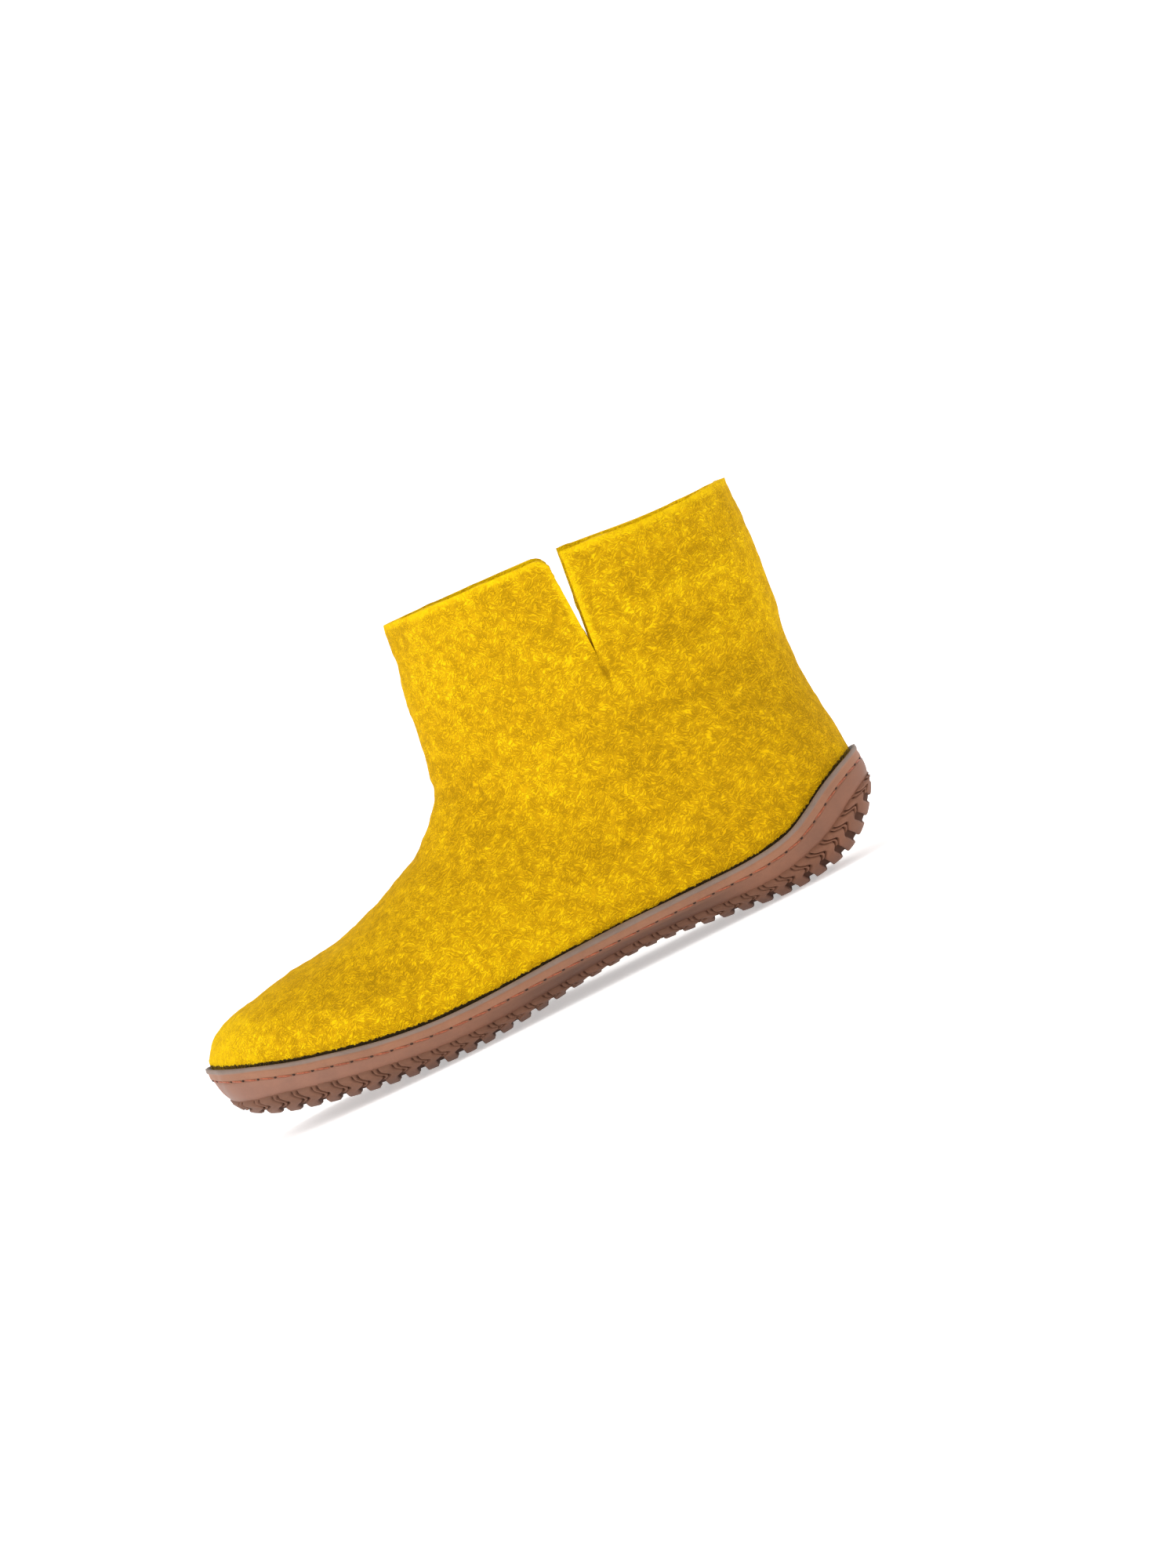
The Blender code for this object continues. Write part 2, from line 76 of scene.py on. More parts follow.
# %% Sections of the last
# low is the outline of the underside and the back, top that of the toe, vamp and shaft's front. x is in
# hundredths of LENGTH from the toe. z is in hundredths of INSTEP_HEIGHT, and past 100 of SHAFT_RISE above it.
# ball, heel and shaft are shares of those widths, shift is in hundredths of BALL_WIDTH toward the outer side.
# widest says how far up a section is widest, the powers say how square it is, and under is the share of
# UNDER_RUBBER that lies below the felt.
COLUMNS = "low_x low_z top_x top_z ball heel shaft shift widest low_power top_power under".split()
SECTIONS = np.array([
    (0.3, 33.1, 0.9, 42.5, 0.115, 0, 0, -8.5, 0.50, 2.0, 2.0, 0.29),
    (0.7, 26.0, 1.6, 45.5, 0.255, 0, 0, -8.0, 0.45, 2.3, 2.0, 0.40),
    (1.5, 20.4, 3.0, 49.9, 0.415, 0, 0, -7.5, 0.40, 2.6, 2.1, 0.56),
    (3.4, 14.9, 5.4, 53.5, 0.57, 0, 0, -6.5, 0.36, 3.0, 2.2, 0.73),
    (7.9, 9.6, 9.3, 56.5, 0.75, 0, 0, -5.0, 0.33, 3.5, 2.3, 0.88),
    (15.7, 4.8, 15.7, 60.2, 0.91, 0, 0, -3.0, 0.32, 4.0, 2.3, 0.97),
    (24.3, 1.3, 23.2, 62.8, 0.99, 0, 0, -1.2, 0.32, 4.3, 2.2, 1),
    (34.3, -0.4, 30.4, 69.1, 1, 0, 0, 0, 0.30, 4.5, 2.1, 1),
    (43.2, 1.5, 35.4, 75.9, 0.80, 0.20, 0, 1.0, 0.28, 4.5, 2.0, 1),
    (51.8, 4.5, 39.1, 82.3, 0.50, 0.50, 0, 2.0, 0.27, 4.5, 1.9, 1),
    (60.4, 6.0, 41.8, 88.7, 0.22, 0.78, 0, 2.5, 0.28, 4.5, 1.85, 1),
    (68.2, 4.6, 43.5, 94.1, 0.08, 0.92, 0, 2.0, 0.30, 4.5, 1.85, 1),
    (75.4, 1.7, 44.5, 98.4, 0, 1, 0, 1.0, 0.33, 4.3, 1.85, 1),
    (82.9, -0.4, 45.1, 104.2, 0, 1, 0, 0, 0.36, 4.0, 1.85, 1),
    (88.9, 0.9, 45.5, 111.2, 0, 0.98, 0.02, 0, 0.39, 3.5, 1.85, 0.97),
    (93.6, 4.9, 45.9, 117.9, 0, 0.96, 0.04, 0, 0.42, 3.0, 1.85, 0.88),
    (97.0, 12.9, 46.3, 124.6, 0, 0.92, 0.08, 0, 0.44, 2.7, 1.85, 0.69),
    (99.3, 23.1, 46.5, 131.3, 0, 0.84, 0.16, 0, 0.46, 2.45, 1.85, 0.49),
    (100, 32.3, 46.7, 138.1, 0, 0.75, 0.25, 0, 0.47, 2.3, 1.87, 0.36),
    (99.8, 41.4, 46.9, 144.8, 0, 0.67, 0.33, 0, 0.48, 2.25, 1.87, 0.28),
    (98.7, 55.9, 47.1, 154.5, 0, 0.54, 0.46, 0, 0.49, 2.2, 1.88, 0),
    (97.8, 77.4, 47.5, 164.2, 0, 0.42, 0.58, 0, 0.50, 2.15, 1.88, 0),
    (98.2, 98.9, 48.0, 172.4, 0, 0.30, 0.70, 0, 0.50, 2.1, 1.89, 0),
    (99.3, 129.9, 48.3, 180.6, 0, 0.17, 0.83, 0, 0.50, 2.05, 1.9, 0),
    (99.9, 162.7, 48.6, 190.3, 0, 0.05, 0.95, 0, 0.50, 2.0, 1.9, 0),
    (100, 191.3, 48.9, 200.3, 0, 0, 1, 0, 0.50, 1.95, 1.9, 0),
])
COLLAR = len(SECTIONS) - 1
BOTTOM = -math.pi / 2
PLACE_STEP = 0.02
ANGLE_STEP = 0.01
STEPS_A_ROW = 200


def rise(hundredths):
    """A height in metres from the table's hundredths."""
    return (np.minimum(hundredths, 100) * INSTEP_HEIGHT + np.maximum(hundredths - 100, 0) * SHAFT_RISE) / 100


def section_at(place):
    """The section at each place between two rows of the table."""
    first = np.clip(np.floor(place).astype(int), 0, COLLAR - 1)
    share = (place - first)[..., None]
    before, start, end, after = (SECTIONS[np.clip(first + step, 0, COLLAR)] for step in (-1, 0, 1, 2))
    bend = 2 * before - 5 * start + 4 * end - after
    twist = 3 * start - before - 3 * end + after
    values = start + 0.5 * share * (end - before + share * (bend + share * twist))
    return {name: values[..., column] for column, name in enumerate(COLUMNS)}


# %% Points on the last
def low_point(place):
    """The underside and back seen from the side: distance from the toe, and height."""
    section = section_at(place)
    return np.stack([section["low_x"] / 100 * LENGTH, rise(section["low_z"])], -1)


def next_places(place):
    """The places just after and just before, where the last still has them."""
    return np.minimum(place + PLACE_STEP, COLLAR), np.maximum(place - PLACE_STEP, 0)


def felt_low(place):
    """The felt's own lowest line, above or before the rubber."""
    after, before = next_places(place)
    run = low_point(after) - low_point(before)
    run /= np.linalg.norm(run, axis=-1, keepdims=True)
    across = np.stack([-run[..., 1], run[..., 0]], -1)
    return low_point(place) + across * (section_at(place)["under"] * UNDER_RUBBER)[..., None]


def fine_last():
    """The sections worked out once, in metres, at close steps, so that a place is then quick to look up."""
    place = np.linspace(0, COLLAR, COLLAR * STEPS_A_ROW + 1)
    section, low = section_at(place), felt_low(place)
    widths = section["ball"] * BALL_WIDTH + section["heel"] * HEEL_WIDTH + section["shaft"] * SHAFT_WIDTH
    return np.stack([
        low[:, 0], low[:, 1], section["top_x"] / 100 * LENGTH, rise(section["top_z"]), widths / 2,
        section["shift"] / 100 * BALL_WIDTH, section["widest"], section["low_power"], section["top_power"],
        section["under"] * UNDER_RUBBER,
    ])


FINE_LAST = fine_last()


def look_up(place):
    """The values of fine_last at each place."""
    spot = place * STEPS_A_ROW
    first = np.minimum(spot.astype(int), FINE_LAST.shape[1] - 2)
    start = FINE_LAST[:, first]
    return start + (FINE_LAST[:, first + 1] - start) * (spot - first)


def rubber_below(place):
    """The whole rubber below or behind the felt."""
    return look_up(np.asarray(place, float))[-1]


def skin(place, angle):
    """Points of the felt's outer skin. The angle runs round a section: 0 outer side, 90 degrees on top."""
    place, angle = np.broadcast_arrays(np.asarray(place, float), np.asarray(angle, float))
    low_x, low_z, top_x, top_z, half, shift, widest, low_power, top_power, _ = look_up(place)
    across, up = np.cos(angle), np.sin(angle)
    power = np.where(up > 0, top_power, low_power)
    reach = (np.abs(across) ** power + np.abs(up) ** power) ** (-1 / power)
    height = widest + reach * up * np.where(up > 0, 1 - widest, widest)
    x, z = low_x + (top_x - low_x) * height, low_z + (top_z - low_z) * height
    return np.stack([LENGTH / 2 - x, shift + half * reach * across, z], -1)


def outward(place, angle):
    """The skin's direction outward."""
    after, before = next_places(place)
    along = skin(after, angle) - skin(before, angle)
    across = skin(place, angle + ANGLE_STEP) - skin(place, angle - ANGLE_STEP)
    normal = np.cross(along, across)
    return normal / np.linalg.norm(normal, axis=-1, keepdims=True)


def offset(place, angle, distance):
    """Points at a distance outside the skin."""
    return skin(place, angle) + outward(place, angle) * np.asarray(distance, float)[..., None]


print("collar is", round(float(skin(COLLAR, math.pi / 2)[2] / MM)), "mm above the floor at the front")

# %% [markdown]
# ## Lines along the side of the sole
# The rim of the cup and the upper edge of the tread rise at toe and heel. Each is a short table of heights,
# smoothed a little so that no corner shows. To lay a line on the boot we look, section by section, for the
# angle at which the cup's outside has the line's height.

# %% Rim and tread lines
# Each mark is a distance from the toe in hundredths of LENGTH, and a height in hundredths of INSTEP_HEIGHT.
RIM_LINE = np.array([
    (0, 39.4), (6.7, 33.9), (11.4, 29.6), (16.2, 26.5), (21.0, 23.5), (25.8, 21.0), (31.9, 19.2),
    (38.7, 18.8), (52.3, 19.9), (65.9, 20.1), (79.6, 20.1), (85.0, 21.9), (88.4, 25.6), (91.8, 32.2),
    (94.5, 36.3), (97.3, 39.8), (100, 42.2),
])
TREAD_LINE = np.array([
    (0, 24.0), (2.6, 21.0), (7.8, 19.4), (14.3, 15.5), (22.0, 11.4), (30.7, 7.6), (42.3, 6.8),
    (53.3, 8.5), (62.1, 9.6), (73.8, 8.1), (80.0, 7.7), (84.1, 8.8), (88.2, 12.5), (91.4, 15.0),
    (94.6, 21.5), (96.9, 25.3), (100, 28.8),
])
# The heights are averaged over these steps, and the lines run straight on past both ends.
SMOOTHING = np.linspace(-2.4, 2.4, 7)
PAST_END = 10
# The cup's side turns into its underside between these cosines of the angle to its lowest point.
SIDE_FACING, UNDER_FACING = 0.25, 0.85
# The lugs take a share of the rubber below the felt, and stand proud of the side.
TREAD_SHARE = 0.28
TREAD_PROUD = 1.3 * MM
LEAST_BASE = 0.8
LARGEST_TURN = math.radians(120)
BALL_PLACE, HEEL_PLACE, BACK_PLACE = 6, 13, 20
HALVINGS = 17


def line_height(line, x):
    """The height of a line along the side at each x, its corners rounded."""
    first, second, before, last = line[0], line[1], line[-2], line[-1]
    start = first - (second - first) / (second[0] - first[0]) * PAST_END
    end = last + (last - before) / (last[0] - before[0]) * PAST_END
    marks = np.vstack([start, line, end])
    from_toe = (LENGTH / 2 - np.asarray(x)) / LENGTH * 100
    heights = [np.interp(from_toe + step, marks[:, 0], marks[:, 1]) for step in SMOOTHING]
    return rise(np.mean(heights, axis=0))


def facing_down(place, angle):
    """1 where the skin faces as its lowest point does, 0 on the sides, and a smooth step between."""
    cosine = np.sum(outward(place, angle) * outward(place, np.full_like(place, BOTTOM)), -1)
    share = np.clip((cosine - SIDE_FACING) / (UNDER_FACING - SIDE_FACING), 0, 1)
    return share * share * (3 - 2 * share)


def cup_depth(place, angle):
    """How far the cup's outside lies from the felt."""
    side = FIT + SIDE_RUBBER
    below = np.maximum(rubber_below(place) * (1 - TREAD_SHARE), side * LEAST_BASE)
    return side + facing_down(place, angle) * (below - side)


def lug_depth(place, angle):
    """How far the lugs' outside lies from the felt."""
    below = np.maximum(rubber_below(place) * TREAD_SHARE, TREAD_PROUD)
    return cup_depth(place, angle) + TREAD_PROUD + facing_down(place, angle) * (below - TREAD_PROUD)


def turn_to(level, place, sign, depth):
    """How far each section turns from its lowest point until the surface at that depth reaches a level."""
    low, high = np.zeros_like(place), np.full_like(place, LARGEST_TURN)
    for _ in range(HALVINGS):
        middle = (low + high) / 2
        angle = BOTTOM + sign * middle
        point = offset(place, angle, depth(place, angle))
        below = point[..., 2] < level(point[..., 0])
        low, high = np.where(below, middle, low), np.where(below, high, middle)
    return low


def end_place(level, depth, below, above):
    """Where a level meets the middle of the toe's front or the heel's back, between two places."""
    for _ in range(HALVINGS):
        middle = np.array((below + above) / 2)
        point = offset(middle, np.array(BOTTOM), depth(middle, np.array(BOTTOM)))
        if point[2] < level(point[0]):
            below = float(middle)
        else:
            above = float(middle)
    return below


def ends(level, depth):
    """The places where a line at that level starts at the toe and ends at the heel."""
    return end_place(level, depth, BALL_PLACE, 0), end_place(level, depth, HEEL_PLACE, BACK_PLACE)


def run_along(points):
    """The distance run along a line at each of its points."""
    return np.concatenate([[0], np.cumsum(np.linalg.norm(np.diff(points, axis=0), axis=-1))])


def rim_level(x):
    return line_height(RIM_LINE, x)


def tread_level(x):
    return line_height(TREAD_LINE, x)


print("rim at mid length:", round(float(rim_level(0) / MM), 1), "mm")

# %% [markdown]
# ## From a grid to a piece
# Each piece starts as bmesh's own grid, whose points are then moved onto the last. The first helper gives
# every point of the grid its row and column, and asks a function for all the places at once. Another merges
# the points that fall together: the seam where a ring closes, and the pole at a tip.

# %% A grid laid on the boot
MERGE = 0.01 * MM
SHARP_CORNER = 1.0  # radians between two faces, past which an edge is rounded
ROUNDING = {"affect": "EDGES", "profile": 0.5, "material": -1}
pieces = []


def laid_grid(rows, columns, places):
    """A bmesh grid whose points take the positions that places(row, column) gives."""
    shape = bmesh.new()
    bmesh.ops.create_grid(shape, x_segments=rows - 1, y_segments=columns - 1, size=0.5)
    row = np.array([round((vertex.co.x + 0.5) * (rows - 1)) for vertex in shape.verts])
    column = np.array([round((vertex.co.y + 0.5) * (columns - 1)) for vertex in shape.verts])
    for vertex, position in zip(shape.verts, places(row, column)):
        vertex.co = position
    return shape, row, column


def paint(shape, name, values):
    """A number on every point of a bmesh, which a material can read as an attribute."""
    layer = shape.verts.layers.float.new(name)
    for vertex, value in zip(shape.verts, values):
        vertex[layer] = value


def merge(shape):
    """Merges the points that fall together."""
    bmesh.ops.remove_doubles(shape, verts=shape.verts, dist=MERGE)
    bmesh.ops.dissolve_degenerate(shape, edges=shape.edges, dist=MERGE)


def close(shape):
    """Merges a ring's seam, fills its open ends and turns the faces outward."""
    merge(shape)
    open_edges = [edge for edge in shape.edges if edge.is_boundary]
    if open_edges:
        bmesh.ops.holes_fill(shape, edges=open_edges, sides=0)
    bmesh.ops.recalc_face_normals(shape, faces=shape.faces)


def corners(shape):
    """The edges where two faces meet at a sharp corner."""
    return [edge for edge in shape.edges if edge.is_manifold and edge.calc_face_angle() > SHARP_CORNER]


def placed(data, name):
    """An object in the scene, for a mesh, a lamp or a camera."""
    made = bpy.data.objects.new(name, data)
    bpy.context.scene.collection.objects.link(made)
    return made


def as_object(name, shape, material):
    """A smooth object made of a bmesh."""
    mesh = bpy.data.meshes.new(name)
    shape.to_mesh(mesh)
    shape.free()
    mesh.materials.append(material)
    mesh.shade_smooth()
    return placed(mesh, name)


def finished(name, shape, material, sharp=40):
    """The object of a piece, riding on the boot's one body, its corners sharp past that many degrees."""
    made = as_object(name, shape, material)
    made.data.set_sharp_from_angle(angle=math.radians(sharp))
    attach(made, "root")
    pieces.append(made)
    print(name, "has", sum(len(face.vertices) - 2 for face in made.data.polygons), "triangles")
    return made


print("edges are rounded past", round(math.degrees(SHARP_CORNER)), "degrees")


# %% [markdown]
# ## A small language for materials
# A material is a graph of nodes. Two short classes let us write it as ordinary sums: a Value is the output of
# a node, and adding or multiplying two Values adds a Math node. Every other node comes from Finish.node.

# %% Values and finishes
class Value:
    """The output of a node, on which the usual signs make Math nodes."""

    def __init__(self, finish, link):
        self.finish, self.link = finish, link

    def math(self, operation, *others):
        return self.finish.node("Math", {"operation": operation}, dict(enumerate((self, *others))))

    def __add__(self, other):
        return self.math("ADD", other)

    def __mul__(self, other):
        return self.math("MULTIPLY", other)

    def __sub__(self, other):
        return self.math("SUBTRACT", other)

    def __rsub__(self, other):
        return self.finish.node("Math", {"operation": "SUBTRACT"}, {0: other, 1: self})

    __radd__ = __add__
    __rmul__ = __mul__


class Finish:
    """A material, with its Principled shader's constants set from the start."""

    def __init__(self, name, **constants):
        self.material = bpy.data.materials.new(name)
        self.material.use_nodes = True
        self.tree = self.material.node_tree
        self.shader = self.tree.nodes["Principled BSDF"]
        for socket, value in constants.items():
            self.shader.inputs[socket.replace("_", " ")].default_value = value

    def node(self, kind, settings=None, inputs=None, output=0):
        """Adds a node: its settings first, then the values or links of its sockets."""
        made = self.tree.nodes.new("ShaderNode" + kind)
        for name, value in (settings or {}).items():
            if name == "stops":
                self.set_stops(made.color_ramp, value)
            else:
                setattr(made, name, value)
        for name, value in (inputs or {}).items():
            self.feed(made.inputs[name], value)
        return Value(self, made.outputs[output])

    def set_stops(self, ramp, stops):
        while len(ramp.elements) < len(stops):
            ramp.elements.new(1)
        for element, (place, colour) in zip(ramp.elements, stops):
            element.position = place
            element.color = colour

    def feed(self, socket, value):
        if isinstance(value, Value):
            self.tree.links.new(value.link, socket)
        else:
            socket.default_value = value

    def position(self):
        return self.node("TexCoord", output="Object")

    def along(self, axis):
        """How far a point lies along an axis of the boot, from the middle or the floor."""
        return self.node("SeparateXYZ", {}, {"Vector": self.position()}, output=axis)

    def painted(self, name):
        """A number that was painted on the mesh."""
        return self.node("Attribute", {"attribute_name": name}, output="Fac")

    def noise(self, where, size, detail=2.0, roughness=0.5):
        """Noise with lumps of about that size, in metres."""
        inputs = {"Vector": where, "Scale": 1 / size, "Detail": detail, "Roughness": roughness}
        return self.node("TexNoise", {}, inputs)

    def step(self, value, start, end):
        """0 below start, 1 above end, smooth between."""
        inputs = {"Value": value, "From Min": start, "From Max": end}
        return self.node("MapRange", {"interpolation_type": "SMOOTHSTEP"}, inputs)

    def mix(self, share, first, second, blend="MIX"):
        """Two colours mixed. They are sockets 6 and 7 of the node, and its colour output is number 2."""
        settings = {"data_type": "RGBA", "blend_type": blend}
        return self.node("Mix", settings, {0: share, 6: first, 7: second}, output=2)

    def ramp(self, value, *stops):
        """A colour for each value: the stops are pairs of a value and its colour."""
        return self.node("ValToRGB", {"stops": stops}, {"Fac": value})

    def bump(self, height, distance, strength=1.0):
        normal = self.node("Bump", {}, {"Height": height, "Distance": distance, "Strength": strength})
        self.feed(self.shader.inputs["Normal"], normal)

    def colour(self, value):
        self.feed(self.shader.inputs["Base Color"], value)

    def roughness(self, value):
        self.feed(self.shader.inputs["Roughness"], value)


def paint_colour(red, green, blue):
    """A colour as a paint chart gives it, 0 to 255, in the linear light that shaders use."""
    shares = [part / 255 for part in (red, green, blue)]
    linear = [part / 12.92 if part <= 0.04045 else ((part + 0.055) / 1.055) ** 2.4 for part in shares]
    return (*linear, 1)


print("mid grey 128 is", round(paint_colour(128, 128, 128)[0], 3), "in linear light")

# %% [markdown]
# ## Yellow felt
# Felt is wool fibre, tangled by water and rubbing, so it has no weave. From a step away one sees short bright
# fibres that lie in every direction over darker hollows. Noise that is stretched along one direction gives
# streaks like fibres. We lay three such layers across each other, let a coarser noise choose between them,
# and use the same pattern for colour and for bump, so that the light fibres also stand highest. Painted light
# makes the felt a little lighter at the toe and along its cut edges, and painted shade makes it darker at the
# heel and in the creases.

# %% Felt material
DARK_YELLOW = paint_colour(170, 128, 1)
YELLOW = paint_colour(206, 156, 2)
BRIGHT_YELLOW = paint_colour(228, 179, 3)
LIGHT_YELLOW = paint_colour(246, 202, 6)
SHEEN_YELLOW = paint_colour(255, 200, 20)
SEAM_SHADOW = paint_colour(44, 34, 18)
FIBRE_LENGTH = 3.2 * MM
FIBRE_WIDTH = 0.5 * MM
FIBRE_TURNS = [(0.3, 0.7, 0.2), (-0.4, -0.6, 0.5), (0.9, 0.1, -0.4)]
CURL_SIZE, CURL_SHIFT = 2.6 * MM, 2.2 * MM
PATCH_SIZE, TUFT_SIZE = 5.5 * MM, 4 * MM
MOTTLE_SIZE, BROAD_SIZE = 4.2 * MM, 38 * MM
FELT_NAP, INSOLE_NAP = 0.7 * MM, 0.4 * MM
# Stretches over which painted light makes the felt lighter at the toe, and painted shade makes it darker toward
# the heel and down the shaft.
TOE_LIGHT = (104 * MM, 142 * MM)
HEEL_SHADE, ANKLE_SHADE = (-90 * MM, -20 * MM), (60 * MM, 110 * MM)
# What each pattern adds to the tone, which runs from 0 at the darkest yellow to 1 at the lightest. The toe and
# edge shares add painted light, the heel and crease shares painted shade.
BASE_TONE = 0.03
TONE_SHARES = {
    "strand": 0.52, "mottle": 0.42, "broad": 0.14, "toe": 0.45, "edge": 0.5, "heel": -0.16, "hollow": -0.1,
}
# The painted shadow line in which the felt's foot disappears: its ragged height, and the size of its teeth.
SEAM_HEIGHT, SEAM_TOOTH, SEAM_BLUR = 2.4, 1.5 * MM, 0.15


def fibres(finish, where, turn):
    """Streaks that lie in one direction."""
    scale = (FIBRE_WIDTH / FIBRE_LENGTH, 1, 1)
    turned = finish.node("Mapping", {}, {"Vector": where, "Rotation": turn})
    stretched = finish.node("Mapping", {}, {"Vector": turned, "Scale": scale})
    return finish.noise(stretched, FIBRE_WIDTH, detail=1.0, roughness=0.55)


def wool(finish):
    """The pattern of tangled fibres, low in the hollows and high on the fibres, and where it is read."""
    where = finish.position()
    curls = {"Vector": where, "Scale": 1 / CURL_SIZE, "Detail": 1.0}
    curl = finish.node("TexNoise", {}, curls, output="Color")
    shift = finish.node("VectorMath", {"operation": "SCALE"}, {0: curl, "Scale": CURL_SHIFT})
    curled = finish.node("VectorMath", {"operation": "ADD"}, {0: where, 1: shift})
    first, second, third = (fibres(finish, curled, turn) for turn in FIBRE_TURNS)
    patch = finish.step(finish.noise(where, PATCH_SIZE, detail=1.0), 0.44, 0.54)
    tuft = finish.step(finish.noise(curled, TUFT_SIZE, detail=0.0), 0.48, 0.56)
    tangle = first * patch + second * (1 - patch)
    return tangle * (1 - tuft) + third * tuft, where


def felt_finish():
    """Yellow felt, with a soft sheen of loose fibre in its own colour."""
    sheen = {"Sheen_Weight": 0.65, "Sheen_Roughness": 0.32, "Sheen_Tint": SHEEN_YELLOW}
    felt = Finish("golden_felt", Roughness=0.95, Specular_IOR_Level=0.12, **sheen)
    tangle, where = wool(felt)
    mottle = felt.noise(where, MOTTLE_SIZE, detail=3.0, roughness=0.6)
    # The toe and the cut edges get painted light, the heel low down and the creases painted shade.
    painted_low_shade = 1 - felt.step(felt.along("Z"), *ANKLE_SHADE)
    patterns = {
        "strand": felt.step(tangle, 0.40, 0.64),
        "mottle": felt.step(mottle, 0.32, 0.70),
        "broad": felt.step(felt.noise(where, BROAD_SIZE), 0.35, 0.65),
        "toe": felt.step(felt.along("X"), *TOE_LIGHT),
        "edge": felt.painted("edge"),
        "heel": (1 - felt.step(felt.along("X"), *HEEL_SHADE)) * painted_low_shade,
        "hollow": felt.painted("hollow"),
    }
    tone = sum(patterns[name] * share for name, share in TONE_SHARES.items()) + BASE_TONE
    shade = felt.ramp(tone, (0, DARK_YELLOW), (0.45, YELLOW), (0.75, BRIGHT_YELLOW), (1, LIGHT_YELLOW))
    ragged = felt.noise(where, SEAM_TOOTH, roughness=0.7) * SEAM_HEIGHT
    seam = 1 - felt.step(felt.painted("above_rim") - ragged, -SEAM_BLUR, SEAM_BLUR)
    felt.colour(felt.mix(seam, shade, SEAM_SHADOW))
    felt.bump(patterns["strand"] * 0.6 + mottle * 0.8, FELT_NAP, 0.75)
    return felt.material


FELT = felt_finish()
print("felt is a graph of", len(FELT.node_tree.nodes), "nodes")

# %% [markdown]
# ## The felt boot
# The boot is laid out as two half shells, front and back, that meet down the middle of each side. Where the
# shaft is slit they stay apart, and below the slit their points merge. Slow noise gives the hand-felted
# surface its lumps. The creases are placed one by one: each is a soft trough with a ridge beside it, with its
# middle, direction, length and width on the side of the boot. Solidify then gives the open skin its wall, and
# a bevel rounds the cut edges of collar and slit, as a knife-cut felt edge softens.

# %% Slit, collar and creases
FELT_ROWS, HALF_COLUMNS, TIP_ROWS = 226, 76, 6
TIP_BULGE = 0.9 * MM
SLIT_TIP, SLIT_TOP = 114.8 * MM, 157 * MM
SLIT_FOOT_X, SLIT_FRONT_X, SLIT_BACK_X = 205.6 * MM, 203.9 * MM, 210.2 * MM
SLIT_LEVEL, SLIT_FADE = 84 * MM, 18 * MM
SLIT_SEARCH = 0.6  # radians either way from the middle of the side
PLACE_SAMPLES = 500
COLUMN_CROWDING = 0.5  # how much closer the columns stand at the slits than between them
LIP_RADIUS, LIP_FLATTENING = 5 * MM, 0.92
COLLAR_DIP, DIP_MIDDLE, DIP_REACH = 2.2 * MM, 250 * MM, 30 * MM
COLLAR_FADE = 16 * MM
EDGE_ROUNDING = 1.3 * MM
# The cut edges get a painted highlight between these distances from the cut, once the slit is open.
EDGE_LIGHT_NEAR, EDGE_LIGHT_FAR = 1.0 * MM, 3.4 * MM
SLIT_OPEN = 122 * MM
# A short fold carries on below the slit, darkened by painted shade.
FOLD_FOOT, FOLD_FADE, FOLD_WIDTH, FOLD_SHADE = 101 * MM, 3 * MM, 0.9 * MM, 3.5
CREASE_FADE = (-0.2 * BALL_WIDTH, 0.1 * BALL_WIDTH)

# x from the toe and z in hundredths of LENGTH, turn in degrees up toward the heel, length and width in
# hundredths of LENGTH, depth in millimetres, and the side: 1 outer, -1 inner, 0 both.
CREASES = [
    (24.5, 15.6, -12, 7.5, 2.4, 2.0, 0),
    (27.0, 11.2, -8, 8.0, 1.9, -1.1, 0),
    (40.5, 24.5, -38, 8.0, 1.6, 1.3, 1),
    (44.0, 22.0, -34, 7.5, 1.4, -0.8, 1),
    (41.0, 26.0, -44, 7.0, 1.6, 1.1, -1),
    (50.0, 31.0, -28, 8.0, 1.7, 0.8, 0),
    (66.0, 17.0, 14, 12.0, 2.2, 1.2, 1),
    (64.0, 13.0, 10, 11.0, 1.9, -0.8, 1),
    (85.0, 31.5, 3, 11.0, 1.7, 1.2, 0),
    (85.5, 35.2, 2, 10.0, 1.6, -0.8, 0),
    (86.0, 39.5, 1, 10.0, 1.7, 1.2, 1),
    (87.0, 44.0, 0, 9.0, 1.6, -0.7, 0),
    (88.0, 48.5, 2, 9.0, 1.8, 1.5, 0),
    (57.0, 45.0, 84, 8.0, 2.0, 0.7, 1),
    (88.0, 22.5, -24, 8.0, 2.2, 0.8, -1),
    (73.4, 38.6, 88, 2.4, 0.4, 1.2, 0),
]
# Size and height of the lumps, which grow from nothing near the rim to full a little above it.
LUMPS = [(26 * MM, 0.55 * MM), (9 * MM, 0.42 * MM), (4 * MM, 0.26 * MM), (2.2 * MM, 0.14 * MM)]
LUMPS_START, LUMPS_FULL = 0.5 * MM, 7 * MM


def smooth(value, start, end):
    """0 below start, 1 above end, smooth between."""
    share = np.clip((value - start) / (end - start), 0, 1)
    return share * share * (3 - 2 * share)


def slit_angle(place, edge_x):
    """The angle, near the middle of the side, at which the skin reaches the slit's edge."""
    low, high = np.full_like(place, -SLIT_SEARCH), np.full_like(place, SLIT_SEARCH)
    for _ in range(HALVINGS):
        middle = (low + high) / 2
        point = skin(place, middle)
        open_share = np.clip((point[..., 2] - SLIT_TIP) / (SLIT_TOP - SLIT_TIP), 0, 1)
        wanted = SLIT_FOOT_X + (edge_x - SLIT_FOOT_X) * open_share
        behind = LENGTH / 2 - point[..., 0] > wanted
        low, high = np.where(behind, middle, low), np.where(behind, high, middle)
    return low * smooth(skin(place, 0)[..., 2], SLIT_LEVEL, SLIT_LEVEL + SLIT_FADE)


